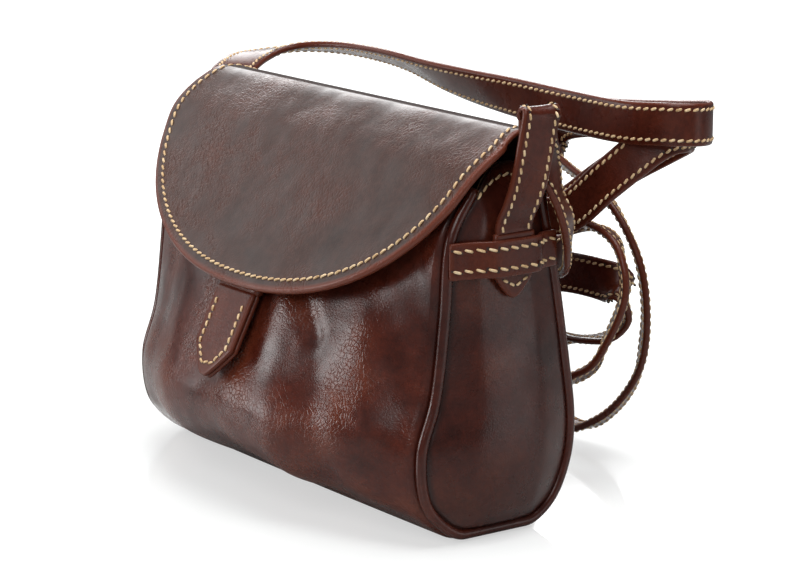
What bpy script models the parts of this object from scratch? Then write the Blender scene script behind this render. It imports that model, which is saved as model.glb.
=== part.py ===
"""Small leather shoulder bag with a half-oval flap, in metres, +Z up.

X runs across the bag, the front faces -Y, and the bag stands on z = 0 with the origin under
the middle of its side rings. The flap and the closing tab are separate bodies: their origins
lie on their hinge lines.
"""

import math

import bmesh
import bpy
import numpy as np

MM = 0.001

# Overall sizes
RING_HALF_WIDTH = 107 * MM  # middle of the bag to the end of the front panel
BODY_HEIGHT = 152 * MM  # floor to the mouth
BODY_HALF_DEPTH = 42 * MM  # half of the side ring's depth, low down
BASE_FRONT = 14 * MM  # the flat that the bag stands on
BASE_BACK = 18 * MM
BASE_ROLL = 3 * MM  # rounding of the body panel's ends

# Leather and lining
BODY_LEATHER = 2.0 * MM
LINING = 0.8 * MM
GUSSET_LEATHER = 1.8 * MM
FLAP_LEATHER = 2.2 * MM
FLAP_LINING = 0.8 * MM
CLEARANCE = 0.3 * MM

# Side gussets and piping
PIPING_RADIUS = 2.3 * MM
PIPING_INSET = 3.1 * MM  # piping's middle, inside the body's outline
GUSSET_SWELL = 8 * MM  # how far the gusset bulges
GUSSET_CROWN = 8 * MM  # how far the middle of the gusset's top stands above the mouth
GUSSET_EDGE = 2.6 * MM  # width of the turned edge beside the piping
GUSSET_STEP = 2.4 * MM  # how far the gusset stands out beyond that edge

# Flap
HINGE_Z = 140 * MM  # height of the line that the flap bends on, across the back
FLAP_HALF_WIDTH = 116 * MM
FLAP_BACK_TAPER = 12 * MM  # how much narrower the flap is at its hinge line
FLAP_SHOULDER = 62 * MM  # length along the flap before its sides start to curve in
FLAP_LENGTH = 150 * MM  # along the leather, hinge line to tip
FLAP_OVER_TOP = 50 * MM  # length along the flap that bends over the top of the bag
FLAP_ROUNDNESS = 2.2  # 2 makes its front edge an ellipse, more makes it squarer
FLAP_LINING_BORDER = 3 * MM  # the lining stays this far inside the edge and the hinge
STRIP_HEIGHT = 22 * MM  # the flap's sewn-down end
STRIP_TOP_DROP = 2.0 * MM  # hinge line to its upper edge
STRIP_SKIVED = 0.8 * MM  # how much thinner than the flap its sewn-down end is

# Closing tab and its snap
TAB_WIDTH = 27 * MM
TAB_LENGTH = 38 * MM
TAB_POINT = 13 * MM
TAB_LAYER = 2.1 * MM
TAB_ROOT_LENGTH = 20 * MM
TAB_OUT = 3.0 * MM  # flap's edge to the tab's hinge line
TAB_LEAN = 27  # degrees from upright
TAB_TIP = 1.5 * MM  # half width of the blunted point
SNAP_RADIUS = 8 * MM
SNAP_THICK = 1.5 * MM
SNAP_DOWN = 21 * MM  # hinge line of the tab to the snap's middle

# Side bands and strap
BAND_LOW = 113 * MM
BAND_HEIGHT = 14 * MM
BAND_LEATHER = 1.9 * MM
BAND_FRONT = 24 * MM
BAND_BACK = 29 * MM
BAND_SHOULDER = 5 * MM  # its slope beside the strap, along Y
STRAP_WIDTH = 18.5 * MM
STRAP_THICK = 3.0 * MM
STRAP_MIDDLE_Y = 5.3 * MM
STRAP_TIP_DROP = 9.5 * MM
STRAP_LEAD = 2 * MM  # how far the fixed strap end stands above the band

# Points of the side ring, mouth to floor, as shares of the half depth and the height
RING_FRONT_SHARES = [
    (-0.30, 0.985), (-0.585, 0.85), (-0.66, 0.63), (-0.76, 0.42),
    (-0.93, 0.27), (-0.88, 0.125), (-0.62, 0.035),
]
RING_BACK_SHARES = [
    (0.79, 0.055), (1.0, 0.17), (1.05, 0.30), (0.97, 0.47),
    (0.83, 0.70), (0.69, 0.88), (0.62, 1.0),
]
# The same points half way across, where the front bulges
MIDDLE_FRONT_SHARES = [
    (-0.33, 0.99), (-0.66, 0.82), (-1.09, 0.635), (-1.43, 0.43),
    (-1.65, 0.29), (-1.50, 0.175), (-0.90, 0.075),
]
MIDDLE_BACK_SHARES = [
    (0.79, 0.05), (1.04, 0.16), (1.12, 0.30), (1.05, 0.47),
    (0.90, 0.70), (0.74, 0.88), (0.64, 1.0),
]
BULGE_POWER = 2.2  # how flat the bulge is across the front
# The flap's outer face from the hinge line over the top to the tip
FLAP_PROFILE_SHARES = [
    (0.785, 0.95), (0.83, 1.01), (0.74, 1.075), (0.50, 1.115), (0.22, 1.125),
    (-0.06, 1.085), (-0.36, 1.022), (-0.58, 0.938), (-0.89, 0.817), (-1.18, 0.703),
    (-1.37, 0.632), (-1.56, 0.552),
]
SWELL_SHARES = [-0.45, 0.0, 0.15, 0.65, 1.0, 0.9, 0.45, 0.1]  # gusset, mouth to floor

BODY_COLUMNS = 14
CURVE_STEPS = 2
FLAP_STEPS = 3
FLAP_COLUMNS = 22
FLAP_ROWS = 12
STRIP_ROWS = 5
GUSSET_COLUMNS = 8
PIPING_SIDES = 8
DISC_SIDES = 28


def clear_scene():
    for item in list(bpy.data.objects):
        bpy.data.objects.remove(item, do_unlink=True)


def leather(name, colour, roughness=0.3, metallic=0.0):
    material = bpy.data.materials.new(name)
    material.use_nodes = True
    shader = material.node_tree.nodes["Principled BSDF"]
    shader.inputs["Base Color"].default_value = (*colour, 1.0)
    shader.inputs["Roughness"].default_value = roughness
    shader.inputs["Metallic"].default_value = metallic
    material.diffuse_color = (*colour, 1.0)
    return material


# Curves and outlines


def smooth(points, steps, before=None, after=None):
    """A smooth curve through the points, with this many steps from one point to the next."""
    points = [np.array(p, float) for p in points]
    first = 2 * points[0] - points[1] if before is None else np.array(before, float)
    last = 2 * points[-1] - points[-2] if after is None else np.array(after, float)
    padded = [first, *points, last]
    curve = []
    for i in range(len(points) - 1):
        a, b, c, d = padded[i : i + 4]
        for k in range(steps):
            t = k / steps
            curve.append(
                0.5 * (2 * b + (c - a) * t + (2 * a - 5 * b + 4 * c - d) * t**2
                       + (3 * b - a - 3 * c + d) * t**3)
            )
    curve.append(points[-1])
    return np.array(curve)


def distances(line):
    steps = np.linalg.norm(np.diff(line, axis=0), axis=1)
    return np.concatenate([[0.0], np.cumsum(steps)])


def along(line, length):
    """The point at this distance along a line of points; it goes straight on past either end."""
    marks = distances(line)
    i = int(np.clip(np.searchsorted(marks, length) - 1, 0, len(line) - 2))
    share = (length - marks[i]) / (marks[i + 1] - marks[i])
    return line[i] + share * (line[i + 1] - line[i])


def normals_2d(line):
    """Unit normals on the right of the way along a line in the Y-Z plane."""
    way = np.gradient(line, axis=0)
    side = np.stack([way[:, 1], -way[:, 0]], axis=1)
    return side / np.linalg.norm(side, axis=1)[:, None]


def to_sizes(shares):
    return [(y * BODY_HALF_DEPTH, z * BODY_HEIGHT) for y, z in shares]


def side_profile(front_shares, back_shares):
    """Front half, from the mouth to the floor, and back half, from the floor to the mouth."""
    front = [*to_sizes(front_shares), (-BASE_FRONT, 0.0)]
    back = [(BASE_BACK, 0.0), *to_sizes(back_shares)]
    front_after = (2 * front[-1][0] - front[-2][0], front[-2][1])
    back_before = (2 * back[0][0] - back[1][0], back[1][1])
    return (
        smooth(front, CURVE_STEPS, after=front_after),
        smooth(back, CURVE_STEPS, before=back_before),
    )


RING_FRONT, RING_BACK = side_profile(RING_FRONT_SHARES, RING_BACK_SHARES)
MIDDLE_FRONT, MIDDLE_BACK = side_profile(MIDDLE_FRONT_SHARES, MIDDLE_BACK_SHARES)
RING = np.concatenate([RING_FRONT, RING_BACK])
MIDDLE = np.concatenate([MIDDLE_FRONT, MIDDLE_BACK])


def outward(line):
    """The normals of a profile that point away from the inside of the bag."""
    side = normals_2d(line)
    middle = np.array([0.0, BODY_HEIGHT / 2])
    return side if np.sum(side * (line - middle)) > 0 else -side


def inset_profile(line, inset):
    """The profile moved in, with its flat base kept level."""
    moved = line - outward(line) * inset
    flat = len(RING_FRONT)
    for i in (flat - 1, flat):
        moved[i] = (line[i][0], line[i][1] + inset)
    return moved


# Solids from grids of points


def add_object(name, points, faces, material, origin=(0.0, 0.0, 0.0)):
    mesh = bpy.data.meshes.new(name)
    shift = np.array(origin)
    mesh.from_pydata([tuple(np.array(p) - shift) for p in points], [], faces)
    bm = bmesh.new()
    bm.from_mesh(mesh)
    bmesh.ops.recalc_face_normals(bm, faces=bm.faces)
    if bm.calc_volume(signed=True) < 0:
        bmesh.ops.reverse_faces(bm, faces=bm.faces)
    bm.to_mesh(mesh)
    bm.free()
    item = bpy.data.objects.new(name, mesh)
    item.location = origin
    mesh.materials.append(material)
    bpy.context.scene.collection.objects.link(item)
    return item


def grid_faces(rows, columns, start=0, flip=False):
    """Triangles over a grid, cut the same way on every grid, so that layers stay apart."""
    faces = []
    for i in range(rows - 1):
        for j in range(columns - 1):
            a = start + i * columns + j
            b = a + columns
            for face in ((a, a + 1, b + 1), (a, b + 1, b)):
                faces.append(face[::-1] if flip else face)
    return faces


def sheet(name, outer, inner, material, origin=(0.0, 0.0, 0.0)):
    """A closed sheet of leather between two grids of points of the same size."""
    outer, inner = np.array(outer), np.array(inner)
    rows, columns, _ = outer.shape
    count = rows * columns
    points = [*outer.reshape(-1, 3), *inner.reshape(-1, 3)]
    faces = grid_faces(rows, columns) + grid_faces(rows, columns, count, flip=True)
    rim = [
        *range(columns),
        *(i * columns + columns - 1 for i in range(1, rows)),
        *(count - 2 - j for j in range(columns - 1)),
        *(i * columns for i in range(rows - 2, 0, -1)),
    ]
    for k, a in enumerate(rim):
        b = rim[(k + 1) % len(rim)]
        faces.append((b, a, a + count, b + count))
    return add_object(name, points, faces, material, origin)


def tube(name, path, radius, sides, material):
    """A round cord along the path, with flat ends."""
    path = np.array(path)
    ways = np.gradient(path, axis=0)
    ways /= np.linalg.norm(ways, axis=1)[:, None]
    points, faces = [], []
    across = np.array([1.0, 0.0, 0.0])
    for centre, way in zip(path, ways):
        side = across - way * np.dot(across, way)
        side /= np.linalg.norm(side)
        up = np.cross(way, side)
        for k in range(sides):
            angle = 2 * math.pi * k / sides
            points.append(centre + radius * (math.cos(angle) * side + math.sin(angle) * up))
    for i in range(len(path) - 1):
        for k in range(sides):
            a, b = i * sides + k, i * sides + (k + 1) % sides
            faces.append((a, b, b + sides, a + sides))
    faces.append(tuple(range(sides - 1, -1, -1)))
    faces.append(tuple((len(path) - 1) * sides + k for k in range(sides)))
    return add_object(name, points, faces, material)


def ribbon(name, path, across, width, thick, material):
    """A flat strap along the path; across holds the direction of its width at each point."""
    points, faces = ribbon_rings(path, across, width, thick)
    return add_object(name, points, faces, material)


def ribbon_rings(path, across, width, thick):
    path, across = np.array(path), np.array(across)
    ways = np.gradient(path, axis=0)
    points, faces = [], []
    for centre, way, side in zip(path, ways, across):
        way = way / np.linalg.norm(way)
        side = side - way * np.dot(side, way)
        side = side / np.linalg.norm(side)
        face = np.cross(way, side)
        for u, v in ((-1, -1), (1, -1), (1, 1), (-1, 1)):
            points.append(centre + side * width / 2 * u + face * thick / 2 * v)
    for i in range(len(path) - 1):
        for k in range(4):
            a, b = 4 * i + k, 4 * i + (k + 1) % 4
            faces.append((a, b, b + 4, a + 4))
    faces.append((3, 2, 1, 0))
    last = 4 * (len(path) - 1)
    faces.append((last, last + 1, last + 2, last + 3))
    return points, faces


def disc(name, centre, normal, radius, thick, material, origin=(0.0, 0.0, 0.0)):
    """A flat round plate whose back lies at centre and which stands out along normal."""
    normal = np.array(normal) / np.linalg.norm(normal)
    side = np.cross(normal, (0.0, 0.0, 1.0))
    side /= np.linalg.norm(side)
    up = np.cross(normal, side)
    points = []
    for height in (0.0, thick):
        for k in range(DISC_SIDES):
            angle = 2 * math.pi * k / DISC_SIDES
            points.append(
                np.array(centre) + normal * height
                + radius * (math.cos(angle) * side + math.sin(angle) * up)
            )
    faces = [tuple(range(DISC_SIDES)), tuple(range(2 * DISC_SIDES - 1, DISC_SIDES - 1, -1))]
    for k in range(DISC_SIDES):
        after = (k + 1) % DISC_SIDES
        faces.append((k, after, after + DISC_SIDES, k + DISC_SIDES))
    return add_object(name, points, faces, material, origin)


# The body


def bulge_at(x):
    """How much of the middle's bulge the body has at this distance from the middle."""
    return 1.0 - min(abs(x) / RING_HALF_WIDTH, 1.0) ** BULGE_POWER


def body_profile(x, inset):
    """The body's side profile at x, moved in by inset."""
    share = bulge_at(x)
    return inset_profile(RING * (1 - share) + MIDDLE * share, inset)


def body_columns():
    """Places across the body, closer together towards its ends."""
    flat = RING_HALF_WIDTH - BASE_ROLL
    angles = (math.pi / 2 * (2 * j / BODY_COLUMNS - 1) for j in range(BODY_COLUMNS + 1))
    return [(flat * math.sin(angle), 0.0) for angle in angles]


def rolled_ends():
    """The same places with the panel's rounded ends, as (x, extra inset)."""
    flat = RING_HALF_WIDTH - BASE_ROLL
    ends = []
    for angle in (math.pi / 5, math.pi / 2):
        ends.append((flat + BASE_ROLL * math.sin(angle), BASE_ROLL * (1 - math.cos(angle))))
    return [(-x, drop) for x, drop in reversed(ends)] + body_columns() + ends


def body_sheet(name, columns, inset, thick, material):
    outer, inner = [], []
    for x, drop in columns:
        for grid, depth in ((outer, inset + drop), (inner, inset + drop + thick)):
            grid.append([(x, y, z) for y, z in body_profile(x, depth)])
    return sheet(name, outer, inner, material)


def build_body(brown, tan):
    body_sheet("body_panel", rolled_ends(), 0.0, BODY_LEATHER, brown)
    body_sheet("body_lining", body_columns(), BODY_LEATHER + CLEARANCE, LINING, tan)


# Gussets and piping

PIPING_X = RING_HALF_WIDTH + PIPING_RADIUS + CLEARANCE
GUSSET_INSET = PIPING_INSET + PIPING_RADIUS + CLEARANCE
GUSSET_X = PIPING_X + PIPING_RADIUS / 2


def swell_at(share):
    """The gusset's bulge at a share of the way from the mouth to the floor."""
    place = share * (len(SWELL_SHARES) - 1)
    i = min(int(place), len(SWELL_SHARES) - 2)
    return SWELL_SHARES[i] + (place - i) * (SWELL_SHARES[i + 1] - SWELL_SHARES[i])


def gusset_grid(sink):
    """Rows of points from the front edge to the back edge, mouth to floor, at x > 0."""
    profile = inset_profile(RING, GUSSET_INSET)
    front = profile[: len(RING_FRONT)]
    back = profile[len(RING_FRONT) :][::-1]
    last = len(front) - 1
    grid = []
    for i, (a, b) in enumerate(zip(front, back)):
        fade = 1 - i / last
        row = []
        for j in range(GUSSET_COLUMNS + 1):
            share = 0.5 - 0.5 * math.cos(math.pi * j / GUSSET_COLUMNS)
            dome = math.sin(math.pi * share) ** 0.8
            y, z = a + share * (b - a)
            z += GUSSET_CROWN * dome * max(0.0, 1 - 4 * (1 - fade))
            edge = min(1.0, 4 * share, 4 * (1 - share), 0.15 + 8 * (1 - fade))
            edge = min(edge, 6 * fade)
            x = GUSSET_X + GUSSET_STEP * edge + GUSSET_SWELL * swell_at(1 - fade) * dome
            row.append((x - sink, y, z))
        grid.append(row)
    return np.array(grid)


def both_sides(make):
    for side, sign in (("left", -1), ("right", 1)):
        make(side, np.array([sign, 1.0, 1.0]))


def build_gussets(brown, tan):
    def make(side, mirror):
        outer = gusset_grid(0.0) * mirror
        inner = gusset_grid(GUSSET_LEATHER) * mirror
        sheet(f"{side}_gusset", outer, inner, brown)
        skin = GUSSET_LEATHER + CLEARANCE
        near = gusset_grid(skin) * mirror
        far = gusset_grid(skin + LINING) * mirror
        sheet(f"{side}_gusset_lining", near[:-1, 1:-1], far[:-1, 1:-1], tan)

    both_sides(make)


def build_piping(brown):
    def make(side, mirror):
        line = inset_profile(RING, PIPING_INSET)
        path = np.array([(PIPING_X, y, z) for y, z in line]) * mirror
        tube(f"{side}_piping", path, PIPING_RADIUS, PIPING_SIDES, brown)

    both_sides(make)


# Flap

HINGE_Y = (
    np.interp(HINGE_Z, MIDDLE_BACK[:, 1], MIDDLE_BACK[:, 0]) + CLEARANCE + FLAP_LEATHER / 2
)
FLAP_LINE = smooth(
    [(HINGE_Y + FLAP_LEATHER / 2, HINGE_Z), *to_sizes(FLAP_PROFILE_SHARES)], FLAP_STEPS
)


def flap_edge(angle):
    """Place across and length along the flap of its edge, for an angle from -90 to 90."""
    power = 2 / FLAP_ROUNDNESS
    across = math.copysign(abs(math.sin(math.radians(angle))) ** power, angle)
    reach = abs(math.cos(math.radians(angle))) ** power
    return across, FLAP_SHOULDER + (FLAP_LENGTH - FLAP_SHOULDER) * reach


def flap_point(across, length, depth):
    """A point of the flap, depth below its outer face."""
    half = FLAP_HALF_WIDTH - FLAP_BACK_TAPER * max(0.0, 1 - length / FLAP_SHOULDER)
    ahead = along(FLAP_LINE, length + FLAP_LEATHER / 2)
    behind = along(FLAP_LINE, length - FLAP_LEATHER / 2)
    way = (ahead - behind) / np.linalg.norm(ahead - behind)
    y, z = along(FLAP_LINE, length) + depth * np.array([-way[1], way[0]])
    return across * half, y, z


def flap_lengths(start, end):
    """Places along the flap: the bends of its line over the top, then evenly to its edge."""
    marks = distances(FLAP_LINE)
    top = [start, *(mark for mark in marks if start + CLEARANCE < mark < FLAP_OVER_TOP)]
    return [*top, *np.linspace(FLAP_OVER_TOP, end, FLAP_ROWS)]


def flap_grid(depth, border=0.0):
    """Points along the flap, side by side; every layer shares its lines, so none cross."""
    grid = []
    for j in range(FLAP_COLUMNS + 1):
        across, end = flap_edge(180 * j / FLAP_COLUMNS - 90)
        if FLAP_HALF_WIDTH * (1 - abs(across)) < border:
            continue
        lengths = flap_lengths(border, end)
        lengths[-1] = max(end - border, lengths[-2] + CLEARANCE)
        grid.append([flap_point(across, length, depth) for length in lengths])
    return np.array(grid)


def build_flap(brown, tan):
    hinge = (0.0, HINGE_Y, HINGE_Z)
    outer = flap_grid(0.0)
    inner = flap_grid(FLAP_LEATHER)
    sheet("flap_outer", outer, inner, brown, hinge)
    skin = FLAP_LEATHER + CLEARANCE
    near = flap_grid(skin, FLAP_LINING_BORDER)
    far = flap_grid(skin + FLAP_LINING, FLAP_LINING_BORDER)
    sheet("flap_lining", near, far, tan, hinge)


def build_flap_strip(brown):
    """The end of the flap's leather, sewn flat on the back of the bag, below the hinge line."""
    columns = body_columns()
    outer, inner = [], []
    top = HINGE_Z - STRIP_TOP_DROP
    for x, _ in columns:
        back = body_profile(x, 0.0)[len(RING_FRONT) :]
        heights = np.linspace(top - STRIP_HEIGHT, top, STRIP_ROWS)
        seat = np.interp(heights, back[:, 1], back[:, 0]) + CLEARANCE
        thick = FLAP_LEATHER - STRIP_SKIVED
        inner.append([(x, y, z) for y, z in zip(seat, heights)])
        outer.append([(x, y + thick, z) for y, z in zip(seat, heights)])
    sheet("flap_hinge_strip", outer, inner, brown)


# Closing tab and snap

FLAP_DEPTH = FLAP_LEATHER + CLEARANCE + FLAP_LINING


def flap_middle(length, depth):
    """A place on the middle line of the flap, depth below its outer face, as (y, z)."""
    return np.array(flap_point(0.0, length, depth)[1:])


TAB_THICK = 2 * TAB_LAYER + CLEARANCE / 2
TAB_DEPTH = FLAP_DEPTH + CLEARANCE + TAB_THICK / 2
TAB_HINGE = flap_middle(FLAP_LENGTH + TAB_OUT, TAB_DEPTH)
TAB_WAY = -np.array([math.sin(math.radians(TAB_LEAN)), math.cos(math.radians(TAB_LEAN))])
TAB_NORMAL = np.array([TAB_WAY[1], -TAB_WAY[0]])


def tab_point(x, down, height):
    """A place on the tab: down from its hinge line and height above its middle plane."""
    y, z = TAB_HINGE + down * TAB_WAY + height * TAB_NORMAL
    return x, y, z


def depth_to_body(down):
    """How far the body's front lies behind the tab's middle plane, at a place down the tab."""
    places = MIDDLE_FRONT - TAB_HINGE
    downs, depths = places @ TAB_WAY, -(places @ TAB_NORMAL)
    order = np.argsort(downs)
    return float(np.interp(down, downs[order], depths[order]))


def tab_rows():
    """(down, half width, half thickness) from the rounded hinge end to the point."""
    radius, half = TAB_THICK / 2, TAB_WIDTH / 2
    rows = [(-radius * math.cos(a), half, radius * math.sin(a))
            for a in (math.pi / 9, math.pi / 4, math.pi / 2)]
    straight = TAB_LENGTH - TAB_POINT
    rows += [(straight * share, half, radius) for share in (1 / 3, 2 / 3, 1)]
    for share in (0.3, 0.55, 0.8, 1.0):
        wide = TAB_TIP + (half - TAB_TIP) * (1 - share) ** 0.85
        rows.append((straight + TAB_POINT * share, wide, radius))
    return rows


def build_tab(brown, tan, steel):
    hinge = (0.0, *TAB_HINGE)
    gap = CLEARANCE / 4
    for name, side, material in (("closure_tab_face", 1, brown), ("closure_tab_backing", -1, tan)):
        outer, inner = [], []
        for down, half, height in tab_rows():
            across = [half * share for share in (-1, -0.5, 0, 0.5, 1)]
            outer.append([tab_point(x, down, side * height) for x in across])
            inner.append([tab_point(x, down, side * gap) for x in across])
        sheet(name, outer, inner, material, hinge)

    root_top = FLAP_LENGTH - TAB_ROOT_LENGTH
    root_end = FLAP_LENGTH + TAB_OUT - TAB_THICK / 2 - CLEARANCE
    near, far = [], []
    for length in np.linspace(root_top, root_end, 5):
        for grid, depth in ((near, TAB_DEPTH - TAB_THICK / 2), (far, TAB_DEPTH + TAB_THICK / 2)):
            y, z = flap_middle(length, depth)
            grid.append([(x, y, z) for x in (-TAB_WIDTH / 2, 0.0, TAB_WIDTH / 2)])
    sheet("closure_tab_root", near, far, brown, (0.0, HINGE_Y, HINGE_Z))

    out = (0.0, *TAB_NORMAL)
    back = (0.0, *-TAB_NORMAL)
    stud_back = TAB_THICK / 2 + CLEARANCE
    stud_face = stud_back + SNAP_THICK
    disc("snap_stud", tab_point(0.0, SNAP_DOWN, -stud_back), back, SNAP_RADIUS, SNAP_THICK,
         steel, hinge)
    seat = min(depth_to_body(down) for down in (SNAP_DOWN - SNAP_RADIUS, SNAP_DOWN + SNAP_RADIUS))
    seat -= CLEARANCE
    thick = seat - stud_face - CLEARANCE
    disc("snap_socket", tab_point(0.0, SNAP_DOWN, -seat), out, SNAP_RADIUS, thick, steel)


# Side bands and strap ends

STRAP_INNER_X = GUSSET_X + GUSSET_STEP + SWELL_SHARES[2] * GUSSET_SWELL + CLEARANCE
STRAP_X = STRAP_INNER_X + STRAP_THICK / 2
BAND_TOP = BAND_LOW + BAND_HEIGHT


def band_line():
    """The inner face of a side band from front to back, as (x, y)."""
    over_piping = PIPING_X + PIPING_RADIUS + CLEARANCE
    over_strap = STRAP_INNER_X + STRAP_THICK + CLEARANCE
    front = STRAP_MIDDLE_Y - STRAP_WIDTH / 2
    back = STRAP_MIDDLE_Y + STRAP_WIDTH / 2
    return smooth(
        [(over_piping, -BAND_FRONT), (over_piping + BAND_LEATHER, front - 2 * BAND_SHOULDER),
         (over_strap, front - CLEARANCE), (over_strap, back + CLEARANCE),
         (over_piping + BAND_LEATHER, back + BAND_SHOULDER + 2 * CLEARANCE),
         (over_piping, BAND_BACK)],
        CURVE_STEPS,
    )


def build_bands(brown):
    heights = [BAND_LOW + BAND_HEIGHT * share for share in (0.0, 0.5, 1.0)]

    def make(side, mirror):
        line = band_line()
        out = -normals_2d(line)
        out *= np.sign(out[0][0]) or 1.0
        inner = [[np.array((x, y, z)) * mirror for z in heights] for x, y in line]
        outer = [[np.array((x, y, z)) * mirror for z in heights]
                 for x, y in line + out * BAND_LEATHER]
        sheet(f"{side}_side_band", outer, inner, brown)

    both_sides(make)


def build_strap_ends(brown):
    tip = BAND_LOW - STRAP_TIP_DROP
    top = BAND_TOP + STRAP_LEAD

    def make(side, mirror):
        outer, inner = [], []
        rows = [(tip, 0.08), (tip + STRAP_TIP_DROP / 3, 0.5),
                (tip + 2 * STRAP_TIP_DROP / 3, 0.82), (BAND_LOW, 1.0), (top, 1.0)]
        for z, share in rows:
            half = STRAP_WIDTH / 2 * share
            line = [STRAP_MIDDLE_Y + half * place for place in (-1, 0, 1)]
            inner.append([np.array((STRAP_INNER_X, y, z)) * mirror for y in line])
            outer.append([np.array((STRAP_INNER_X + STRAP_THICK, y, z)) * mirror for y in line])
        sheet(f"{side}_strap_end", outer, inner, brown)

    both_sides(make)


# Shoulder strap, a free flat strap: its route in mm and the direction of its width

STRAP_ROUTE = [
    # right side band, up to the fold and down behind it
    ((116.2, 5.3, 129.8), (0, 1, 0)),
    ((116.2, 5.3, 132), (0, 1, 0)),
    ((117, 6, 136), (0, 1, 0)),
    ((120, 7, 143), (0, 1, 0)),
    ((122, 9, 153), (0, 1, 0)),
    ((123, 12, 170), (0, 1, 0)),
    ((123.5, 13, 177), (0, 1, 0)),
    ((123, 13.5, 179), (0, 1, 0)),
    ((121, 14, 180), (0, 1, 0)),
    ((119, 14.5, 179), (0, 1, 0)),
    ((118.5, 15, 177), (0, 1, 0)),
    ((118, 16, 170), (0, 1, 0)),
    ((117, 20, 160), (-0.2, 1, 0)),
    ((115, 26, 151), (-0.5, 0.85, 0)),
    ((114, 30, 141), (-0.7, 0.7, 0.1)),
    ((114, 35, 130), (-0.6, 0.6, 0.4)),
    ((109, 40, 120), (-0.5, 0.5, 0.7)),
    ((99, 45, 112), (-0.4, 0.3, 0.85)),
    # behind the body and back
    ((80, 47, 109), (-0.2, 0, 1)),
    ((50, 49, 109), (0, 0, 1)),
    ((38, 56, 111), (0, 0, 1)),
    ((44, 65, 114), (0, 0, 1)),
    # the front one of the two slanting runs, and its turn at the right
    ((70, 71, 123), (-0.4, 0, 0.9)),
    ((88, 77, 139), (-0.5, 0, 0.85)),
    ((102, 89, 155), (-0.3, 0, 0.95)),
    ((108, 95, 160), (0, 0, 1)),
    ((111, 101, 161), (0, 0, 1)),
    ((106, 108, 160), (0, 0, 1)),
    # the rear one, and its turn behind the body
    ((90, 108, 152), (-0.3, 0, 0.95)),
    ((70, 105, 141), (-0.4, 0, 0.9)),
    ((51, 103, 129), (-0.45, 0, 0.9)),
    ((35, 102, 118), (-0.4, 0, 0.9)),
    ((23, 99, 111), (-0.2, 0, 1)),
    ((20, 92, 109), (0, 0, 1)),
    ((28, 87, 110), (0, -0.1, 1)),
    # the inner loop
    ((42, 85, 113), (0, -0.5, 0.85)),
    ((60, 85, 116), (0.2, -0.8, 0.5)),
    ((80, 84, 114), (0.6, -0.8, 0.2)),
    ((94, 81, 105), (0.8, -0.6, 0.2)),
    ((98, 80, 90), (0.8, -0.6, 0.1)),
    ((90, 78, 70), (0.8, -0.6, 0.2)),
    ((80, 75, 54), (0.7, -0.6, 0.4)),
    ((60, 70, 44), (0.4, -0.8, 0.2)),
    ((28, 67, 43), (0.1, -0.6, 0.8)),
    ((8, 71, 45), (0, 0, 1)),
    ((3, 82, 48), (0, -0.1, 1)),
    ((12, 92, 52), (0, -0.4, 0.9)),
    # the small loop in the middle
    ((32, 97, 57), (0, -0.9, 0.5)),
    ((54, 96, 60), (0.1, -1, 0.1)),
    ((71, 97, 66), (0.6, -0.8, -0.1)),
    ((78, 98, 76), (0.8, -0.5, -0.3)),
    ((78, 95, 87), (0.5, -0.4, -0.7)),
    ((66, 92, 90), (0.1, -0.1, -1)),
    ((40, 91, 89), (0, -0.1, -1)),
    ((15, 95, 83), (-0.3, -0.5, -0.8)),
    ((-3, 102, 65), (-0.1, -1, -0.1)),
    ((-8, 107, 45), (0, -1, 0)),
    ((-4, 110, 24), (0, -1, 0)),
    ((8, 113, 11), (0, -1, 0)),
    # the large outer loop
    ((25, 116, 9), (0, -1, 0)),
    ((42, 119, 19), (0.4, -0.9, 0)),
    ((56, 120, 34), (0.6, -0.8, 0)),
    ((65, 119, 52), (0.8, -0.6, 0.1)),
    ((68, 118, 73), (0.8, -0.6, 0.1)),
    ((64, 117, 94), (0.8, -0.6, 0.1)),
    ((51, 117, 111), (0.7, -0.7, 0.3)),
    ((34, 118, 122), (0.4, -0.8, 0.4)),
    ((14, 120, 127), (0.2, -0.8, 0.6)),
    ((-6, 122, 134), (-0.3, -0.6, 0.7)),
    ((-3, 122, 146), (-0.6, -0.3, 0.7)),
    ((18, 121, 153), (-0.3, 0, 0.95)),
    # behind the long upper run, round its right end and back along it
    ((56, 119, 157), (-0.1, 0, 1)),
    ((90, 118, 161), (-0.1, 0, 1)),
    ((110, 114, 164), (0, 0, 1)),
    ((120, 106, 165), (0, 0, 1)),
    ((123, 95, 166), (0, 0, 1)),
    ((114, 86, 166), (0, 0, 1)),
    ((94, 80, 165), (0, 0, 1)),
    ((60, 80, 165), (0, 0, 1)),
    ((24, 80, 166), (0, 0.1, 1)),
    ((-8, 80, 167), (0, 0.3, 1)),
    ((-40, 80, 169), (0, 0.6, 0.8)),
    ((-70, 81, 172), (0, 0.9, 0.4)),
    ((-98, 81, 173), (0, 1, 0.2)),
    # the left end and its side band
    ((-120, 77, 173), (-0.3, 1, 0.1)),
    ((-136, 68, 172), (-0.8, 0.6, 0.1)),
    ((-142, 54, 170), (-1, 0, 0.1)),
    ((-137, 40, 169), (-0.9, -0.4, 0.1)),
    ((-129, 27, 166), (-0.8, -0.5, 0.3)),
    ((-122, 17, 160), (-0.4, -0.7, 0.5)),
    ((-119, 10, 150), (-0.1, -0.9, 0.4)),
    ((-117, 6, 139), (0, -1, 0.1)),
    ((-116.2, 5.3, 132), (0, -1, 0)),
    ((-116.2, 5.3, 129.8), (0, -1, 0)),
]


def build_shoulder_strap(brown):
    line = smooth([np.array(place) * MM for place, _ in STRAP_ROUTE], CURVE_STEPS)
    across = smooth([np.array(way, float) for _, way in STRAP_ROUTE], CURVE_STEPS)
    ribbon("shoulder_strap", line, across, STRAP_WIDTH, STRAP_THICK, brown)
    length = distances(line)[-1]
    print(f"shoulder strap: {length / MM:.0f} mm")


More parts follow.
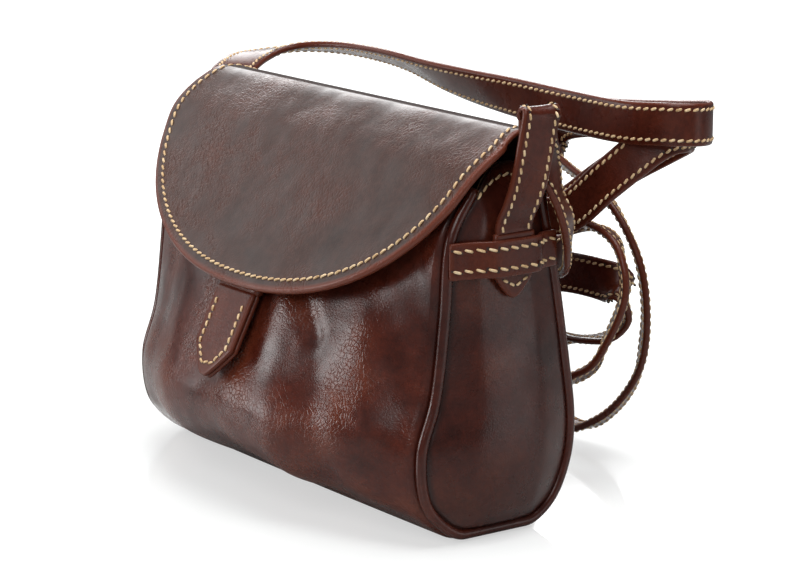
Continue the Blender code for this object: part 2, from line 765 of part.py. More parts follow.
def main():
    clear_scene()
    brown = leather("body_leather", (0.16, 0.05, 0.035))
    flap_brown = leather("flap_leather", (0.2, 0.07, 0.05))
    tan = leather("lining_leather", (0.42, 0.27, 0.17), 0.6)
    steel = leather("snap_steel", (0.7, 0.68, 0.64), 0.3, 1.0)
    build_body(brown, tan)
    build_gussets(brown, tan)
    build_piping(flap_brown)
    build_flap(flap_brown, tan)
    build_flap_strip(flap_brown)
    build_tab(flap_brown, brown, steel)
    build_bands(flap_brown)
    build_strap_ends(flap_brown)
    build_shoulder_strap(flap_brown)


main()
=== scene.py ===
"""Looks of the flap bag: glossy brown leather, piped gussets, cream stitching, a loose strap."""

import math

import bpy
import numpy as np
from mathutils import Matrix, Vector, kdtree, noise


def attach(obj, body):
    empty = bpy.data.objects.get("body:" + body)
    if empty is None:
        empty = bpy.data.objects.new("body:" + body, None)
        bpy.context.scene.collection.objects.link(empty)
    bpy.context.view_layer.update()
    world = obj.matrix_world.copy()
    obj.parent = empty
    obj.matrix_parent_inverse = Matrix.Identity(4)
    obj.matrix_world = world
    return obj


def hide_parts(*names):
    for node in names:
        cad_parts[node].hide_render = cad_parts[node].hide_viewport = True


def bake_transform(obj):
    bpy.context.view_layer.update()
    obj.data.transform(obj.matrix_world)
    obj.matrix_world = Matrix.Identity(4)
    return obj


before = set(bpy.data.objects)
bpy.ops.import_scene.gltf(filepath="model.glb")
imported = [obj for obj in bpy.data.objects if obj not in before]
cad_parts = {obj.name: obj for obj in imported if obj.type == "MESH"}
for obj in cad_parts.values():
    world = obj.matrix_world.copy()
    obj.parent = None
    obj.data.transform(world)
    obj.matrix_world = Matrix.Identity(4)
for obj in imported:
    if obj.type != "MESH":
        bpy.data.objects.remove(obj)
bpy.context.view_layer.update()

MM = 0.001

# Camera, fitted to the photo
CAMERA_AZIMUTH = 54.466  # degrees
CAMERA_TILT = 12.688
CAMERA_PLACE = (1.01018, -0.69002, 0.36130)
CAMERA_LENS = 127.65
SENSOR_WIDTH = 36.0

# The shapes of the solids, as in the part's source
RING_HALF_WIDTH = 107 * MM
BODY_HEIGHT = 152 * MM
BODY_HALF_DEPTH = 42 * MM
BASE_FRONT = 14 * MM
BASE_BACK = 18 * MM
BASE_ROLL = 3 * MM
BODY_LEATHER = 2.0 * MM
LINING = 0.8 * MM
GUSSET_LEATHER = 1.8 * MM
FLAP_LEATHER = 2.2 * MM
FLAP_LINING = 0.8 * MM
CLEARANCE = 0.3 * MM
PIPING_RADIUS = 2.3 * MM
PIPING_INSET = 3.1 * MM
GUSSET_SWELL = 8 * MM
GUSSET_CROWN = 8 * MM
GUSSET_STEP = 2.4 * MM
HINGE_Z = 140 * MM
FLAP_HALF_WIDTH = 116 * MM
FLAP_BACK_TAPER = 12 * MM
FLAP_SHOULDER = 62 * MM
FLAP_LENGTH = 150 * MM
FLAP_ROUNDNESS = 2.2
STRIP_HEIGHT = 22 * MM
STRIP_TOP_DROP = 2.0 * MM
STRIP_SKIVED = 0.8 * MM
TAB_WIDTH = 27 * MM
TAB_LENGTH = 38 * MM
TAB_POINT = 13 * MM
TAB_LAYER = 2.1 * MM
TAB_ROOT_LENGTH = 20 * MM
TAB_OUT = 3.0 * MM
TAB_LEAN = 27  # degrees
TAB_TIP = 1.5 * MM
BAND_LOW = 113 * MM
BAND_HEIGHT = 14 * MM
BAND_LEATHER = 1.9 * MM
BAND_FRONT = 24 * MM
BAND_BACK = 29 * MM
BAND_SHOULDER = 5 * MM
STRAP_WIDTH = 18.5 * MM
STRAP_THICK = 3.0 * MM
STRAP_MIDDLE_Y = 5.3 * MM
STRAP_TIP_DROP = 9.5 * MM
STRAP_LEAD = 2 * MM

RING_FRONT_SHARES = [
    (-0.30, 0.985), (-0.585, 0.85), (-0.66, 0.63), (-0.76, 0.42),
    (-0.93, 0.27), (-0.88, 0.125), (-0.62, 0.035),
]
RING_BACK_SHARES = [
    (0.79, 0.055), (1.0, 0.17), (1.05, 0.30), (0.97, 0.47),
    (0.83, 0.70), (0.69, 0.88), (0.62, 1.0),
]
MIDDLE_FRONT_SHARES = [
    (-0.33, 0.99), (-0.66, 0.82), (-1.09, 0.635), (-1.43, 0.43),
    (-1.65, 0.29), (-1.50, 0.175), (-0.90, 0.075),
]
MIDDLE_BACK_SHARES = [
    (0.79, 0.05), (1.04, 0.16), (1.12, 0.30), (1.05, 0.47),
    (0.90, 0.70), (0.74, 0.88), (0.64, 1.0),
]
BULGE_POWER = 2.2
FLAP_PROFILE_SHARES = [
    (0.785, 0.95), (0.83, 1.01), (0.74, 1.075), (0.50, 1.115), (0.22, 1.125),
    (-0.06, 1.085), (-0.36, 1.022), (-0.58, 0.938), (-0.89, 0.817), (-1.18, 0.703),
    (-1.37, 0.632), (-1.56, 0.552),
]
SWELL_SHARES = [-0.45, 0.0, 0.15, 0.65, 1.0, 0.9, 0.45, 0.1]

# How finely the looks are drawn
PROFILE_STEPS = 10
BODY_COLUMNS = 150
ROLL_STEPS = 6
GUSSET_COLUMNS = 44
PIPING_SIDES = 20
FLAP_COLUMNS = 120
FLAP_ROWS = 110
STRIP_ROWS = 14
OUTLINE_STEPS = 20
TAB_ROWS = 18
TAB_POINT_ROWS = 24
TAB_COLUMNS = 15
ROOT_ROWS = 12
ROOT_COLUMNS = 9
TAB_SEAM_STEPS = 12
BAND_ROWS = 9
END_POINT_ROWS = 16
END_ROWS = 8
END_COLUMNS = 11
STRAP_FACE_POINTS = 7
STRAP_EDGE_STEPS = 6
RIM_STEPS = 5

# How far a sheet's rim stands out, as a share of half its thickness, and its worn border
RIM_SHARE = 0.75
FLAP_RIM_SHARE = 0.8
WORN_BORDER = 2.0 * MM
FLAP_WORN_BORDER = 2.5 * MM

# Stitches and needle holes
STITCH_SHARE = 0.88  # of the space from one stitch to the next
STITCH_RADIUS = 0.52 * MM
STITCH_SPACING = 4.2 * MM
STITCH_SLANT = 17.0  # degrees
STITCH_RINGS = 7
STITCH_SIDES = 6
STITCH_TAPER_SHARE = 0.6
STITCH_RISE_SHARE = 0.45
STITCH_DIVE_SHARE = 1.1
STITCH_WIDE_SHARE = 1.15
HOLE_RADIUS = 0.80 * MM
HOLE_SIDES = 8
HOLE_LONG_SHARE = 1.25
HOLE_RISE = 0.10 * MM
HOLE_SINK = 0.08 * MM

# Places of the seams
HEM_ROW = 2
HEM_END_COLUMNS = 5
FLAP_SEAM_START = 6 * MM
FLAP_SEAM_INSET = 4.4 * MM
TAB_SEAM_TOP = 4.5 * MM  # below the tab's hinge line
TAB_SEAM_INSET = 3.2 * MM
TAB_SEAM_TIP = 1.45  # insets above the tab's point
TAB_SPACING = 3.6 * MM
STRAP_SINK = 0.2 * MM
STRAP_SEAM_INSET = 2.7 * MM
STRAP_SPACING = 3.7 * MM
BAND_SEAM_INSET = 2.8 * MM
BAND_SPACING = 5.0 * MM
END_SEAM_INSET = 2.6 * MM
END_SEAM_TIP = 1.5  # insets above the strap end's point
END_SEAM_DROP = 2.0 * MM
END_SPACING = 3.2 * MM


def link(item):
    bpy.context.scene.collection.objects.link(item)


def load_camera():
    data = bpy.data.cameras.new("photo_camera")
    data.lens = CAMERA_LENS
    data.sensor_width = SENSOR_WIDTH
    camera = bpy.data.objects.new("photo_camera", data)
    camera.location = CAMERA_PLACE
    camera.rotation_euler = (math.radians(90 - CAMERA_TILT), 0, math.radians(CAMERA_AZIMUTH))
    link(camera)
    bpy.context.scene.camera = camera


# Curves


def smooth(points, steps, before=None, after=None):
    """A smooth curve through the points, with this many steps from one point to the next."""
    points = [np.array(p, float) for p in points]
    first = 2 * points[0] - points[1] if before is None else np.array(before, float)
    last = 2 * points[-1] - points[-2] if after is None else np.array(after, float)
    padded = [first, *points, last]
    curve = []
    for i in range(len(points) - 1):
        a, b, c, d = padded[i : i + 4]
        for k in range(steps):
            t = k / steps
            curve.append(
                0.5 * (2 * b + (c - a) * t + (2 * a - 5 * b + 4 * c - d) * t**2
                       + (3 * b - a - 3 * c + d) * t**3)
            )
    curve.append(points[-1])
    return np.array(curve)


def distances(line):
    steps = np.linalg.norm(np.diff(line, axis=0), axis=1)
    return np.concatenate([[0.0], np.cumsum(steps)])


def along(line, lengths):
    """Points at these distances along a line, which goes straight on past either end."""
    marks = distances(line)
    lengths = np.asarray(lengths, float)
    i = np.clip(np.searchsorted(marks, lengths) - 1, 0, len(line) - 2)
    share = (lengths - marks[i]) / (marks[i + 1] - marks[i])
    return line[i] + share[..., None] * (line[i + 1] - line[i])


def unit(vectors):
    return vectors / np.maximum(np.linalg.norm(vectors, axis=-1, keepdims=True), 1e-12)


def evenly(line, spacing):
    """Distances along a line, about this far apart, that fill its length."""
    total = distances(line)[-1]
    count = max(1, round(total / spacing))
    return (np.arange(count) + 0.5) * total / count


def fade(value, low, high):
    """0 below low, 1 above high, smooth between."""
    t = np.clip((np.asarray(value, float) - low) / (high - low), 0, 1)
    return t * t * (3 - 2 * t)


def to_sizes(shares):
    return [(y * BODY_HALF_DEPTH, z * BODY_HEIGHT) for y, z in shares]


def side_profile(front_shares, back_shares):
    front = [*to_sizes(front_shares), (-BASE_FRONT, 0.0)]
    back = [(BASE_BACK, 0.0), *to_sizes(back_shares)]
    front_after = (2 * front[-1][0] - front[-2][0], front[-2][1])
    back_before = (2 * back[0][0] - back[1][0], back[1][1])
    base = np.linspace(front[-1], back[0], PROFILE_STEPS)[1:-1]
    return (
        smooth(front, PROFILE_STEPS, after=front_after),
        base,
        smooth(back, PROFILE_STEPS, before=back_before),
    )


RING_FRONT, RING_BASE, RING_BACK = side_profile(RING_FRONT_SHARES, RING_BACK_SHARES)
MIDDLE_FRONT, MIDDLE_BASE, MIDDLE_BACK = side_profile(MIDDLE_FRONT_SHARES, MIDDLE_BACK_SHARES)
RING = np.concatenate([RING_FRONT, RING_BASE, RING_BACK])
MIDDLE = np.concatenate([MIDDLE_FRONT, MIDDLE_BASE, MIDDLE_BACK])


def outward(line):
    """Unit normals of a side profile that point away from the inside of the bag."""
    way = np.gradient(line, axis=0)
    side = unit(np.stack([way[:, 1], -way[:, 0]], axis=1))
    middle = np.array([0.0, BODY_HEIGHT / 2])
    return side if np.sum(side * (line - middle)) > 0 else -side


def inset_profile(line, inset):
    moved = line - outward(line) * inset
    moved[:, 1] = np.maximum(moved[:, 1], inset)
    return moved


# Meshes


def add_piece(name, points, faces, material, body, edge=None):
    mesh = bpy.data.meshes.new(name)
    mesh.from_pydata([tuple(p) for p in points], [], faces)
    mesh.update()
    mesh.polygons.foreach_set("use_smooth", [True] * len(mesh.polygons))
    if edge is not None:
        layer = mesh.attributes.new("edge", "FLOAT", "POINT")
        layer.data.foreach_set("value", np.asarray(edge, np.float32))
    piece = bpy.data.objects.new(name, mesh)
    mesh.materials.append(material)
    link(piece)
    if body:
        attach(piece, body)
    return piece


def grid_faces(rows, columns, start=0, flip=False):
    faces = []
    for i in range(rows - 1):
        for j in range(columns - 1):
            a = start + i * columns + j
            face = (a, a + 1, a + 1 + columns, a + columns)
            faces.append(face[::-1] if flip else face)
    return faces


def ring_faces(rings, sides, start=0):
    """Faces of a tube of rings, with both ends closed."""
    faces = []
    for i in range(rings - 1):
        for k in range(sides):
            a, b = start + i * sides + k, start + i * sides + (k + 1) % sides
            faces.append((a, b, b + sides, a + sides))
    last = start + (rings - 1) * sides
    faces.append(tuple(start + k for k in range(sides))[::-1])
    faces.append(tuple(last + k for k in range(sides)))
    return faces


def border_of(rows, columns):
    """The grid's border points in order, each with the point next to it on the inside."""
    last_row, last_column = rows - 1, columns - 1
    border = [(0, j, 1, j) for j in range(columns)]
    border += [(i, last_column, i, last_column - 1) for i in range(1, rows)]
    border += [(last_row, j, last_row - 1, j) for j in range(last_column - 1, -1, -1)]
    border += [(i, 0, i, 1) for i in range(last_row - 1, 0, -1)]
    return border


def near_border(points, border, reach):
    """1 at the border, fading to 0 at this reach from it."""
    tree = kdtree.KDTree(len(border))
    for k, place in enumerate(border):
        tree.insert(Vector(place), k)
    tree.balance()
    gaps = np.array([tree.find(Vector(p))[2] for p in points])
    return 1 - fade(gaps, 0.0, reach)


def leather_sheet(
    name, outer, inner, material, body, bulge=RIM_SHARE, edge_wear_and_shade=WORN_BORDER
):
    """A closed sheet between two grids, with a rounded rim and an edge mark along its border, for
    burnished wear on most pieces and painted groove shade on the body and gussets.
    """
    rows, columns, _ = outer.shape
    count = rows * columns
    border = border_of(rows, columns)
    rim_out = np.array([outer[i, j] for i, j, _, _ in border])
    rim_in = np.array([inner[i, j] for i, j, _, _ in border])
    inside = np.array([outer[a, b] for _, _, a, b in border])
    around = unit(np.roll(rim_out, -1, axis=0) - np.roll(rim_out, 1, axis=0))
    up = rim_out - rim_in
    thick = np.linalg.norm(up, axis=1, keepdims=True)
    away = np.cross(around, unit(up))
    signs = np.sign(np.sum(away * (rim_out - inside), axis=1, keepdims=True))
    away = unit(away) * np.where(np.median(signs) >= 0, 1.0, -1.0)
    points = [outer.reshape(-1, 3), inner.reshape(-1, 3)]
    faces = grid_faces(rows, columns, flip=True) + grid_faces(rows, columns, count)
    rings = [np.array([i * columns + j for i, j, _, _ in border])]
    total = 2 * count
    for k in range(1, RIM_STEPS):
        angle = math.pi * k / RIM_STEPS
        ring = (rim_out + rim_in) / 2 + up / 2 * math.cos(angle)
        points.append(ring + away * thick / 2 * bulge * math.sin(angle))
        rings.append(np.arange(total, total + len(border)))
        total += len(border)
    rings.append(rings[0] + count)
    for near, far in zip(rings, rings[1:]):
        for k in range(len(border)):
            after = (k + 1) % len(border)
            faces.append((near[k], near[after], far[after], far[k]))
    points = np.concatenate(points)
    edge = np.ones(len(points))
    edge[: 2 * count] = near_border(points[: 2 * count], np.concatenate([rim_out, rim_in]), edge_wear_and_shade)
    faces = [tuple(int(v) for v in face) for face in faces]
    piece = add_piece(name, points, faces, material, body, edge)
    face_outward(piece)
    return piece


def face_outward(piece):
    """Turns all faces over if the closed mesh is inside out."""
    mesh = piece.data
    mesh.calc_loop_triangles()
    places = np.array([v.co for v in mesh.vertices])
    corners = np.array([t.vertices for t in mesh.loop_triangles])
    a, b, c = (places[corners[:, k]] for k in range(3))
    if np.sum(a * np.cross(b, c)) < 0:
        mesh.flip_normals()


# Stitches


class Seam:
    """Gathers the stitches of one body, and their needle holes, into two pieces."""

    def __init__(self, name, body):
        self.name, self.body = name, body
        self.thread, self.thread_faces = [], []
        self.holes, self.hole_faces = [], []

    def run(self, line, normals, slant=0.0, spacing=STITCH_SPACING, lift=0.0):
        """Stitches along a line of surface points; slant in degrees turns each one."""
        marks = distances(line)
        for mark in evenly(line, spacing):
            centre, before, after, normal = (
                np.array([np.interp(at, marks, values[:, k]) for k in range(3)])
                for at, values in (
                    (mark, line), (mark - MM / 2, line), (mark + MM / 2, line), (mark, normals)
                )
            )
            normal = unit(normal)
            way = unit(after - before)
            way = unit(way - normal * np.dot(way, normal))
            side = np.cross(normal, way)
            turn = math.radians(slant)
            way = way * math.cos(turn) + side * math.sin(turn)
            self.add_stitch(centre + normal * lift, way, normal, spacing * STITCH_SHARE)

    def add_stitch(self, centre, way, normal, length):
        """One stitch that dives into the leather at both ends."""
        side = np.cross(normal, way)
        self.thread_faces += ring_faces(STITCH_RINGS, STITCH_SIDES, len(self.thread))
        for k in range(STITCH_RINGS):
            t = 2 * k / (STITCH_RINGS - 1) - 1
            radius = STITCH_RADIUS * (1 - STITCH_TAPER_SHARE * abs(t) ** 4)
            height = STITCH_RADIUS * (STITCH_RISE_SHARE - STITCH_DIVE_SHARE * abs(t) ** 5)
            middle = centre + way * t * length / 2 + normal * height
            for j in range(STITCH_SIDES):
                angle = 2 * math.pi * j / STITCH_SIDES
                turned = math.cos(angle) * side * STITCH_WIDE_SHARE + math.sin(angle) * normal
                self.thread.append(middle + radius * turned)
        for end in (-1, 1):
            self.add_hole(centre + way * end * length / 2, side, way, normal)

    def add_hole(self, centre, side, way, normal):
        """A low dimple, dark with painted shade, around the place where the thread goes down."""
        base = len(self.holes)
        self.holes.append(centre + normal * HOLE_RISE)
        for j in range(HOLE_SIDES):
            angle = 2 * math.pi * j / HOLE_SIDES
            turned = math.cos(angle) * side + HOLE_LONG_SHARE * math.sin(angle) * way
            self.holes.append(centre + HOLE_RADIUS * turned - normal * HOLE_SINK)
        for j in range(HOLE_SIDES):
            self.hole_faces.append((base, base + 1 + j, base + 1 + (j + 1) % HOLE_SIDES))

    def finish(self):
        return (
            add_piece(f"{self.name}_stitches", self.thread, self.thread_faces, THREAD, self.body),
            add_piece(f"{self.name}_needle_holes", self.holes, self.hole_faces, HOLE, self.body),
        )


# Materials

# Pattern scales are in patterns a metre, heights in metres, pairs are the ends of a range
CLOUD_SCALE = 24.0
CLOUD_STOPS = (0.34, 0.50, 0.70)
FINE_SCALE = 420.0
FINE_RANGE = (0.3, 0.75)
FINE_SHADES = (0.72, 1.18)
FINE_HEIGHT = 0.10 * MM
PORE_SCALE = 850.0
PORE_WIDTH = 0.25
PORE_HEIGHT = 0.05 * MM
WAVE_SCALE = 26.0
WAVE_HEIGHT = 3.0 * MM
CREASE_SCALE = 70.0
CREASE_HEIGHT = 0.25 * MM
CRACK_SCALE = 460.0
CRACK_BEND = 3.0 * MM
CRACK_CLOUDS = (0.44, 0.60)
CRACK_WIDTH = 0.14
CRACK_HEIGHT = 0.14 * MM
# Edge colour: burnished wear on most pieces, painted shade of the grooves beside the piping on the
# body and gussets
EDGE_WEAR_AND_SHADE_RANGE = (0.25, 1.0)
EDGE_WEAR_AND_SHADE_SHARE = 0.85
# How far the painted shade on the flap's crest darkens and dulls it, and its dark brown
CREST_SHADE_SHARE = 0.9
CREST_SHADE_BROWN = (0.018, 0.006, 0.004)
SHINE_SCALE = 60.0
COAT_ROUGHNESS = 0.14
NOISE_RANGE = (0.3, 0.7)
SUEDE_FIBRE_SCALE = 900.0
SUEDE_CLOUD_SCALE = 30.0
SUEDE_SHADES = (0.75, 1.2)
SUEDE_ROUGHNESS = (0.75, 0.95)
SUEDE_HEIGHT = 0.2 * MM
SUEDE_SHEEN = 0.25
TWIST_SCALE = 420.0
TWIST_HEIGHT = 0.1 * MM
THREAD_SCALE = 300.0
THREAD_STOPS = (0.3, 0.55, 0.75)
THREAD_ROUGHNESS = (0.5, 0.7)
HOLE_SCALE = 800.0
HOLE_ROUGHNESS = 0.6
STEEL_SCALE = 1500.0
STEEL_ROUGHNESS = (0.25, 0.4)
STEEL_HEIGHT = 0.05 * MM


class Surface:
    """A material or a world and its nodes; an input is a value or another node's output."""

    def __init__(self, name, kind=bpy.data.materials, last="Principled BSDF"):
        self.owner = kind.new(name)
        self.owner.use_nodes = True
        self.tree = self.owner.node_tree
        self.last = self.tree.nodes[last]
        self.place = self.add("TexCoord").outputs["Object"]

    def put(self, node, inputs):
        for name, value in inputs.items():
            socket = node.inputs[name]
            if isinstance(value, bpy.types.NodeSocket):
                self.tree.links.new(value, socket)
            else:
                socket.default_value = (*value, 1.0) if socket.type == "RGBA" else value

    def add(self, kind, inputs=None, **settings):
        node = self.tree.nodes.new(f"ShaderNode{kind}")
        for name, value in settings.items():
            setattr(node, name, value)
        self.put(node, inputs or {})
        return node

    def finish(self, inputs):
        """Sets the inputs of the last node, and gives the material or world."""
        self.put(self.last, inputs)
        return self.owner

    def noise(self, scale, detail=4.0, roughness=0.6):
        inputs = {"Vector": self.place, "Scale": scale, "Detail": detail, "Roughness": roughness}
        return self.add("TexNoise", inputs).outputs["Fac"]

    def ridges(self, scale):
        """Thin raised lines, like the creases of bent leather."""
        inputs = {"Vector": self.place, "Scale": scale, "Detail": 3.0}
        return self.add("TexNoise", inputs, noise_type="RIDGED_MULTIFRACTAL").outputs["Fac"]

    def cells(self, vector, scale, width):
        """Flat cells with grooves between them, 0 in a groove and 1 on a cell."""
        inputs = {"Vector": vector, "Scale": scale}
        cells = self.add("TexVoronoi", inputs, feature="DISTANCE_TO_EDGE")
        return self.spread(cells.outputs["Distance"], 0.0, width)

    def cracks(self, clouds):
        """Fine cracks like those of bent leather, in the lighter clouds only."""
        bend = self.add("TexNoise", {"Vector": self.place, "Scale": CRACK_SCALE / 3})
        inputs = {0: bend.outputs["Color"], 1: (CRACK_BEND,) * 3, 2: self.place}
        moved = self.add("VectorMath", inputs, operation="MULTIPLY_ADD").outputs["Vector"]
        height = self.cells(moved, CRACK_SCALE, CRACK_WIDTH)
        depth = self.spread(clouds, *CRACK_CLOUDS)
        return self.add("Mix", {0: depth, 2: 1.0, 3: height}).outputs[0]

    def attribute(self, name):
        return self.add("Attribute", attribute_name=name).outputs["Fac"]

    def ramp(self, value, places, colours):
        """A colour ramp with a colour at each place."""
        node = self.add("ValToRGB", {"Fac": value})
        elements = node.color_ramp.elements
        while len(elements) < len(places):
            elements.new(0.5)
        for element, place, colour in zip(elements, places, colours):
            element.position = place
            element.color = (*colour, 1.0)
        return node.outputs["Color"]

    def spread(self, value, low, high, to_low=0.0, to_high=1.0):
        """The value, with low to high spread over another range."""
        ends = {"From Min": low, "From Max": high, "To Min": to_low, "To Max": to_high}
        return self.add("MapRange", {"Value": value, **ends}).outputs["Result"]

    def mix(self, factor, first, second, kind="MIX"):
        inputs = {0: factor, 6: first, 7: second}
        return self.add("Mix", inputs, data_type="RGBA", blend_type=kind).outputs[2]

    def bump(self, height, strength, distance, normal=None):
        inputs = {"Height": height, "Strength": strength, "Distance": distance}
        if normal is not None:
            inputs["Normal"] = normal
        return self.add("Bump", inputs).outputs["Normal"]


def glossy_leather(name, dark, middle, light, edge_colour, gloss=(0.20, 0.38), grain=0.4,
                   creases=0.3, waves=1.0, coat=0.15, ior=1.40):
    """Polished leather: cloudy colour, fine pores, soft creases, burnished edges on most pieces,
    painted groove shade along the edges of the body and gussets, and a dark matt strip of painted
    shade on the flap's crest.
    """
    leather = Surface(name)
    clouds = leather.noise(CLOUD_SCALE, 5.0, 0.62)
    fine = leather.noise(FINE_SCALE, 4.0, 0.65)
    colour = leather.ramp(clouds, CLOUD_STOPS, (dark, middle, light))
    mottle = leather.spread(fine, *FINE_RANGE, *FINE_SHADES)
    colour = leather.mix(1.0, colour, mottle, "MULTIPLY")
    # Edge colour: burnished wear on most pieces, painted groove shade on the body and gussets
    edge_wear_and_shade = leather.spread(leather.attribute("edge"), *EDGE_WEAR_AND_SHADE_RANGE, 0.0, EDGE_WEAR_AND_SHADE_SHARE)
    colour = leather.mix(edge_wear_and_shade, colour, edge_colour)
    # A dark, matt strip of painted shade across the flap's crest
    crest_shade = leather.spread(leather.attribute("crest_shade"), 0.0, 1.0, 0.0, CREST_SHADE_SHARE)
    colour = leather.mix(crest_shade, colour, CREST_SHADE_BROWN)

    normal = leather.bump(leather.noise(WAVE_SCALE, 2.0, 0.45), waves, WAVE_HEIGHT)
    normal = leather.bump(leather.ridges(CREASE_SCALE), creases, CREASE_HEIGHT, normal)
    normal = leather.bump(leather.cracks(clouds), creases, CRACK_HEIGHT, normal)
    normal = leather.bump(fine, grain, FINE_HEIGHT, normal)
    pores = leather.cells(leather.place, PORE_SCALE, PORE_WIDTH)
    normal = leather.bump(pores, grain, PORE_HEIGHT, normal)

    shine = leather.spread(leather.noise(SHINE_SCALE), *NOISE_RANGE, *gloss)
    rough = leather.add("Math", {0: shine, 1: crest_shade}, operation="MAXIMUM").outputs["Value"]
    return leather.finish({
        "Base Color": colour, "Normal": normal, "Roughness": rough, "IOR": ior,
        "Coat Weight": leather.spread(crest_shade, 0.0, CREST_SHADE_SHARE, coat, 0.0),
        "Coat Roughness": COAT_ROUGHNESS, "Coat Normal": normal,
    })


def matt_leather(name, dark, light):
    """The suede-like inside of the leather."""
    suede = Surface(name)
    fibres = suede.noise(SUEDE_FIBRE_SCALE, 5.0, 0.7)
    colour = suede.ramp(suede.noise(SUEDE_CLOUD_SCALE), NOISE_RANGE, (dark, light))
    mottle = suede.spread(fibres, *NOISE_RANGE, *SUEDE_SHADES)
    return suede.finish({
        "Base Color": suede.mix(1.0, colour, mottle, "MULTIPLY"),
        "Normal": suede.bump(fibres, 0.5, SUEDE_HEIGHT),
        "Roughness": suede.spread(fibres, *NOISE_RANGE, *SUEDE_ROUGHNESS),
        "Sheen Weight": SUEDE_SHEEN,
    })


def thread_material(name, dark, middle, light):
    """Waxed thread with its twist."""
    thread = Surface(name)
    waves = {"Vector": thread.place, "Scale": TWIST_SCALE, "Distortion": 2.0}
    twist = thread.add("TexWave", waves).outputs["Fac"]
    fine = thread.noise(THREAD_SCALE, 2.0)
    return thread.finish({
        "Base Color": thread.ramp(fine, THREAD_STOPS, (dark, middle, light)),
        "Normal": thread.bump(twist, 0.5, TWIST_HEIGHT),
        "Roughness": thread.spread(fine, *NOISE_RANGE, *THREAD_ROUGHNESS),
    })


def hole_material(name, dark, light):
    """Painted shade in the needle holes: a dark, matt colour."""
    wax = Surface(name)
    colour = wax.ramp(wax.noise(HOLE_SCALE, 2.0), NOISE_RANGE, (dark, light))
    return wax.finish({"Base Color": colour, "Roughness": HOLE_ROUGHNESS})


def steel_material(name, dark, light):
    """Satin plated steel with fine turning marks."""
    steel = Surface(name)
    marks = steel.noise(STEEL_SCALE, 3.0)
    return steel.finish({
        "Base Color": steel.ramp(marks, NOISE_RANGE, (dark, light)),
        "Metallic": 1.0,
        "Roughness": steel.spread(marks, *NOISE_RANGE, *STEEL_ROUGHNESS),
        "Normal": steel.bump(marks, 0.2, STEEL_HEIGHT),
    })


# The body leather's fourth colour is painted shade for the grooves beside the piping
BODY_BROWN = glossy_leather(
    "body_leather_brown", (0.038, 0.0060, 0.0032), (0.085, 0.0145, 0.0070),
    (0.155, 0.034, 0.0150), (0.022, 0.0035, 0.0020), waves=0.8, creases=0.55,
)
# The gusset leather's fourth colour is painted shade for the grooves beside the piping
GUSSET_BROWN = glossy_leather(
    "gusset_leather_brown", (0.030, 0.0050, 0.0030), (0.062, 0.0110, 0.0060),
    (0.105, 0.024, 0.0110), (0.020, 0.0035, 0.0020), waves=0.5, creases=0.12,
)
FLAP_BROWN = glossy_leather(
    "flap_leather_brown", (0.030, 0.0115, 0.0075), (0.052, 0.0175, 0.0110), (0.085, 0.0240, 0.0135),
    (0.170, 0.036, 0.016), gloss=(0.30, 0.48), waves=0.55, creases=0.75, coat=0.1,
)
STRAP_BROWN = glossy_leather(
    "strap_leather_brown", (0.048, 0.0085, 0.0045), (0.080, 0.0145, 0.0072), (0.120, 0.026, 0.012),
    (0.115, 0.025, 0.012), waves=0.25, creases=0.06, coat=0.06, ior=1.32,
)
PIPING_BROWN = glossy_leather(
    "piping_leather_brown", (0.040, 0.0065, 0.0035), (0.070, 0.0120, 0.0060), (0.11, 0.022, 0.011),
    (0.070, 0.0120, 0.0060), gloss=(0.16, 0.28), waves=0.2, creases=0.1,
)
LINING_TAN = matt_leather("lining_tan", (0.20, 0.12, 0.07), (0.33, 0.21, 0.13))
THREAD = thread_material(
    "cream_thread", (0.52, 0.32, 0.15), (0.80, 0.56, 0.31), (0.92, 0.73, 0.48)
)
# The needle holes' dark colour is painted shade
HOLE = hole_material("needle_hole", (0.018, 0.006, 0.004), (0.04, 0.014, 0.01))
STEEL = steel_material("snap_plated_steel", (0.56, 0.53, 0.48), (0.76, 0.73, 0.67))


# Body


def bulge_at(x):
    return 1.0 - min(abs(x) / RING_HALF_WIDTH, 1.0) ** BULGE_POWER


def body_profile(x, inset):
    share = bulge_at(x)
    return inset_profile(RING * (1 - share) + MIDDLE * share, inset)


def body_columns():
    flat = RING_HALF_WIDTH - BASE_ROLL
    angles = (math.pi / 2 * (2 * j / BODY_COLUMNS - 1) for j in range(BODY_COLUMNS + 1))
    return [(flat * math.sin(angle), 0.0) for angle in angles]


def rolled_ends():
    """Places across the body with the panel's rounded ends, as (x, extra inset)."""
    flat = RING_HALF_WIDTH - BASE_ROLL
    ends = []
    for k in range(1, ROLL_STEPS + 1):
        angle = math.pi / 2 * k / ROLL_STEPS
        ends.append((flat + BASE_ROLL * math.sin(angle), BASE_ROLL * (1 - math.cos(angle))))
    return [(-x, drop) for x, drop in reversed(ends)] + body_columns() + ends


# Soft folds of the front in mm: both ends as (x, z), how far each stands out, and its half width
FRONT_FOLDS = [
    ((34, 99), (53, 78), -2.0, 4.0),
    ((24, 98), (46, 12), 1.6, 10.0),
    ((72, 94), (91, 46), 1.7, 9.0),
    ((57, 70), (68, 20), -1.5, 9.0),
    ((-8, 55), (4, 12), -1.1, 12.0),
    ((-46, 92), (-38, 20), 1.4, 14.0),
    ((-80, 98), (-70, 24), -1.1, 13.0),
]
FOLD_SPAN_SHARES = (0.12, 0.88)  # where a fold keeps its full height
FOLD_CLEAR_TOP = (112 * MM, 138 * MM)  # no folds above, where flap and strip lie on the body
FOLD_CLEAR_BASE = (4 * MM, 14 * MM)
FOLD_CLEAR_SIDE = (96 * MM, 104 * MM)
TAB_CLEAR = (17 * MM, 25 * MM)
TAB_CLEAR_LOW = 56 * MM
BODY_NOISE = 0.9 * MM
BODY_NOISE_SCALE = 30.0
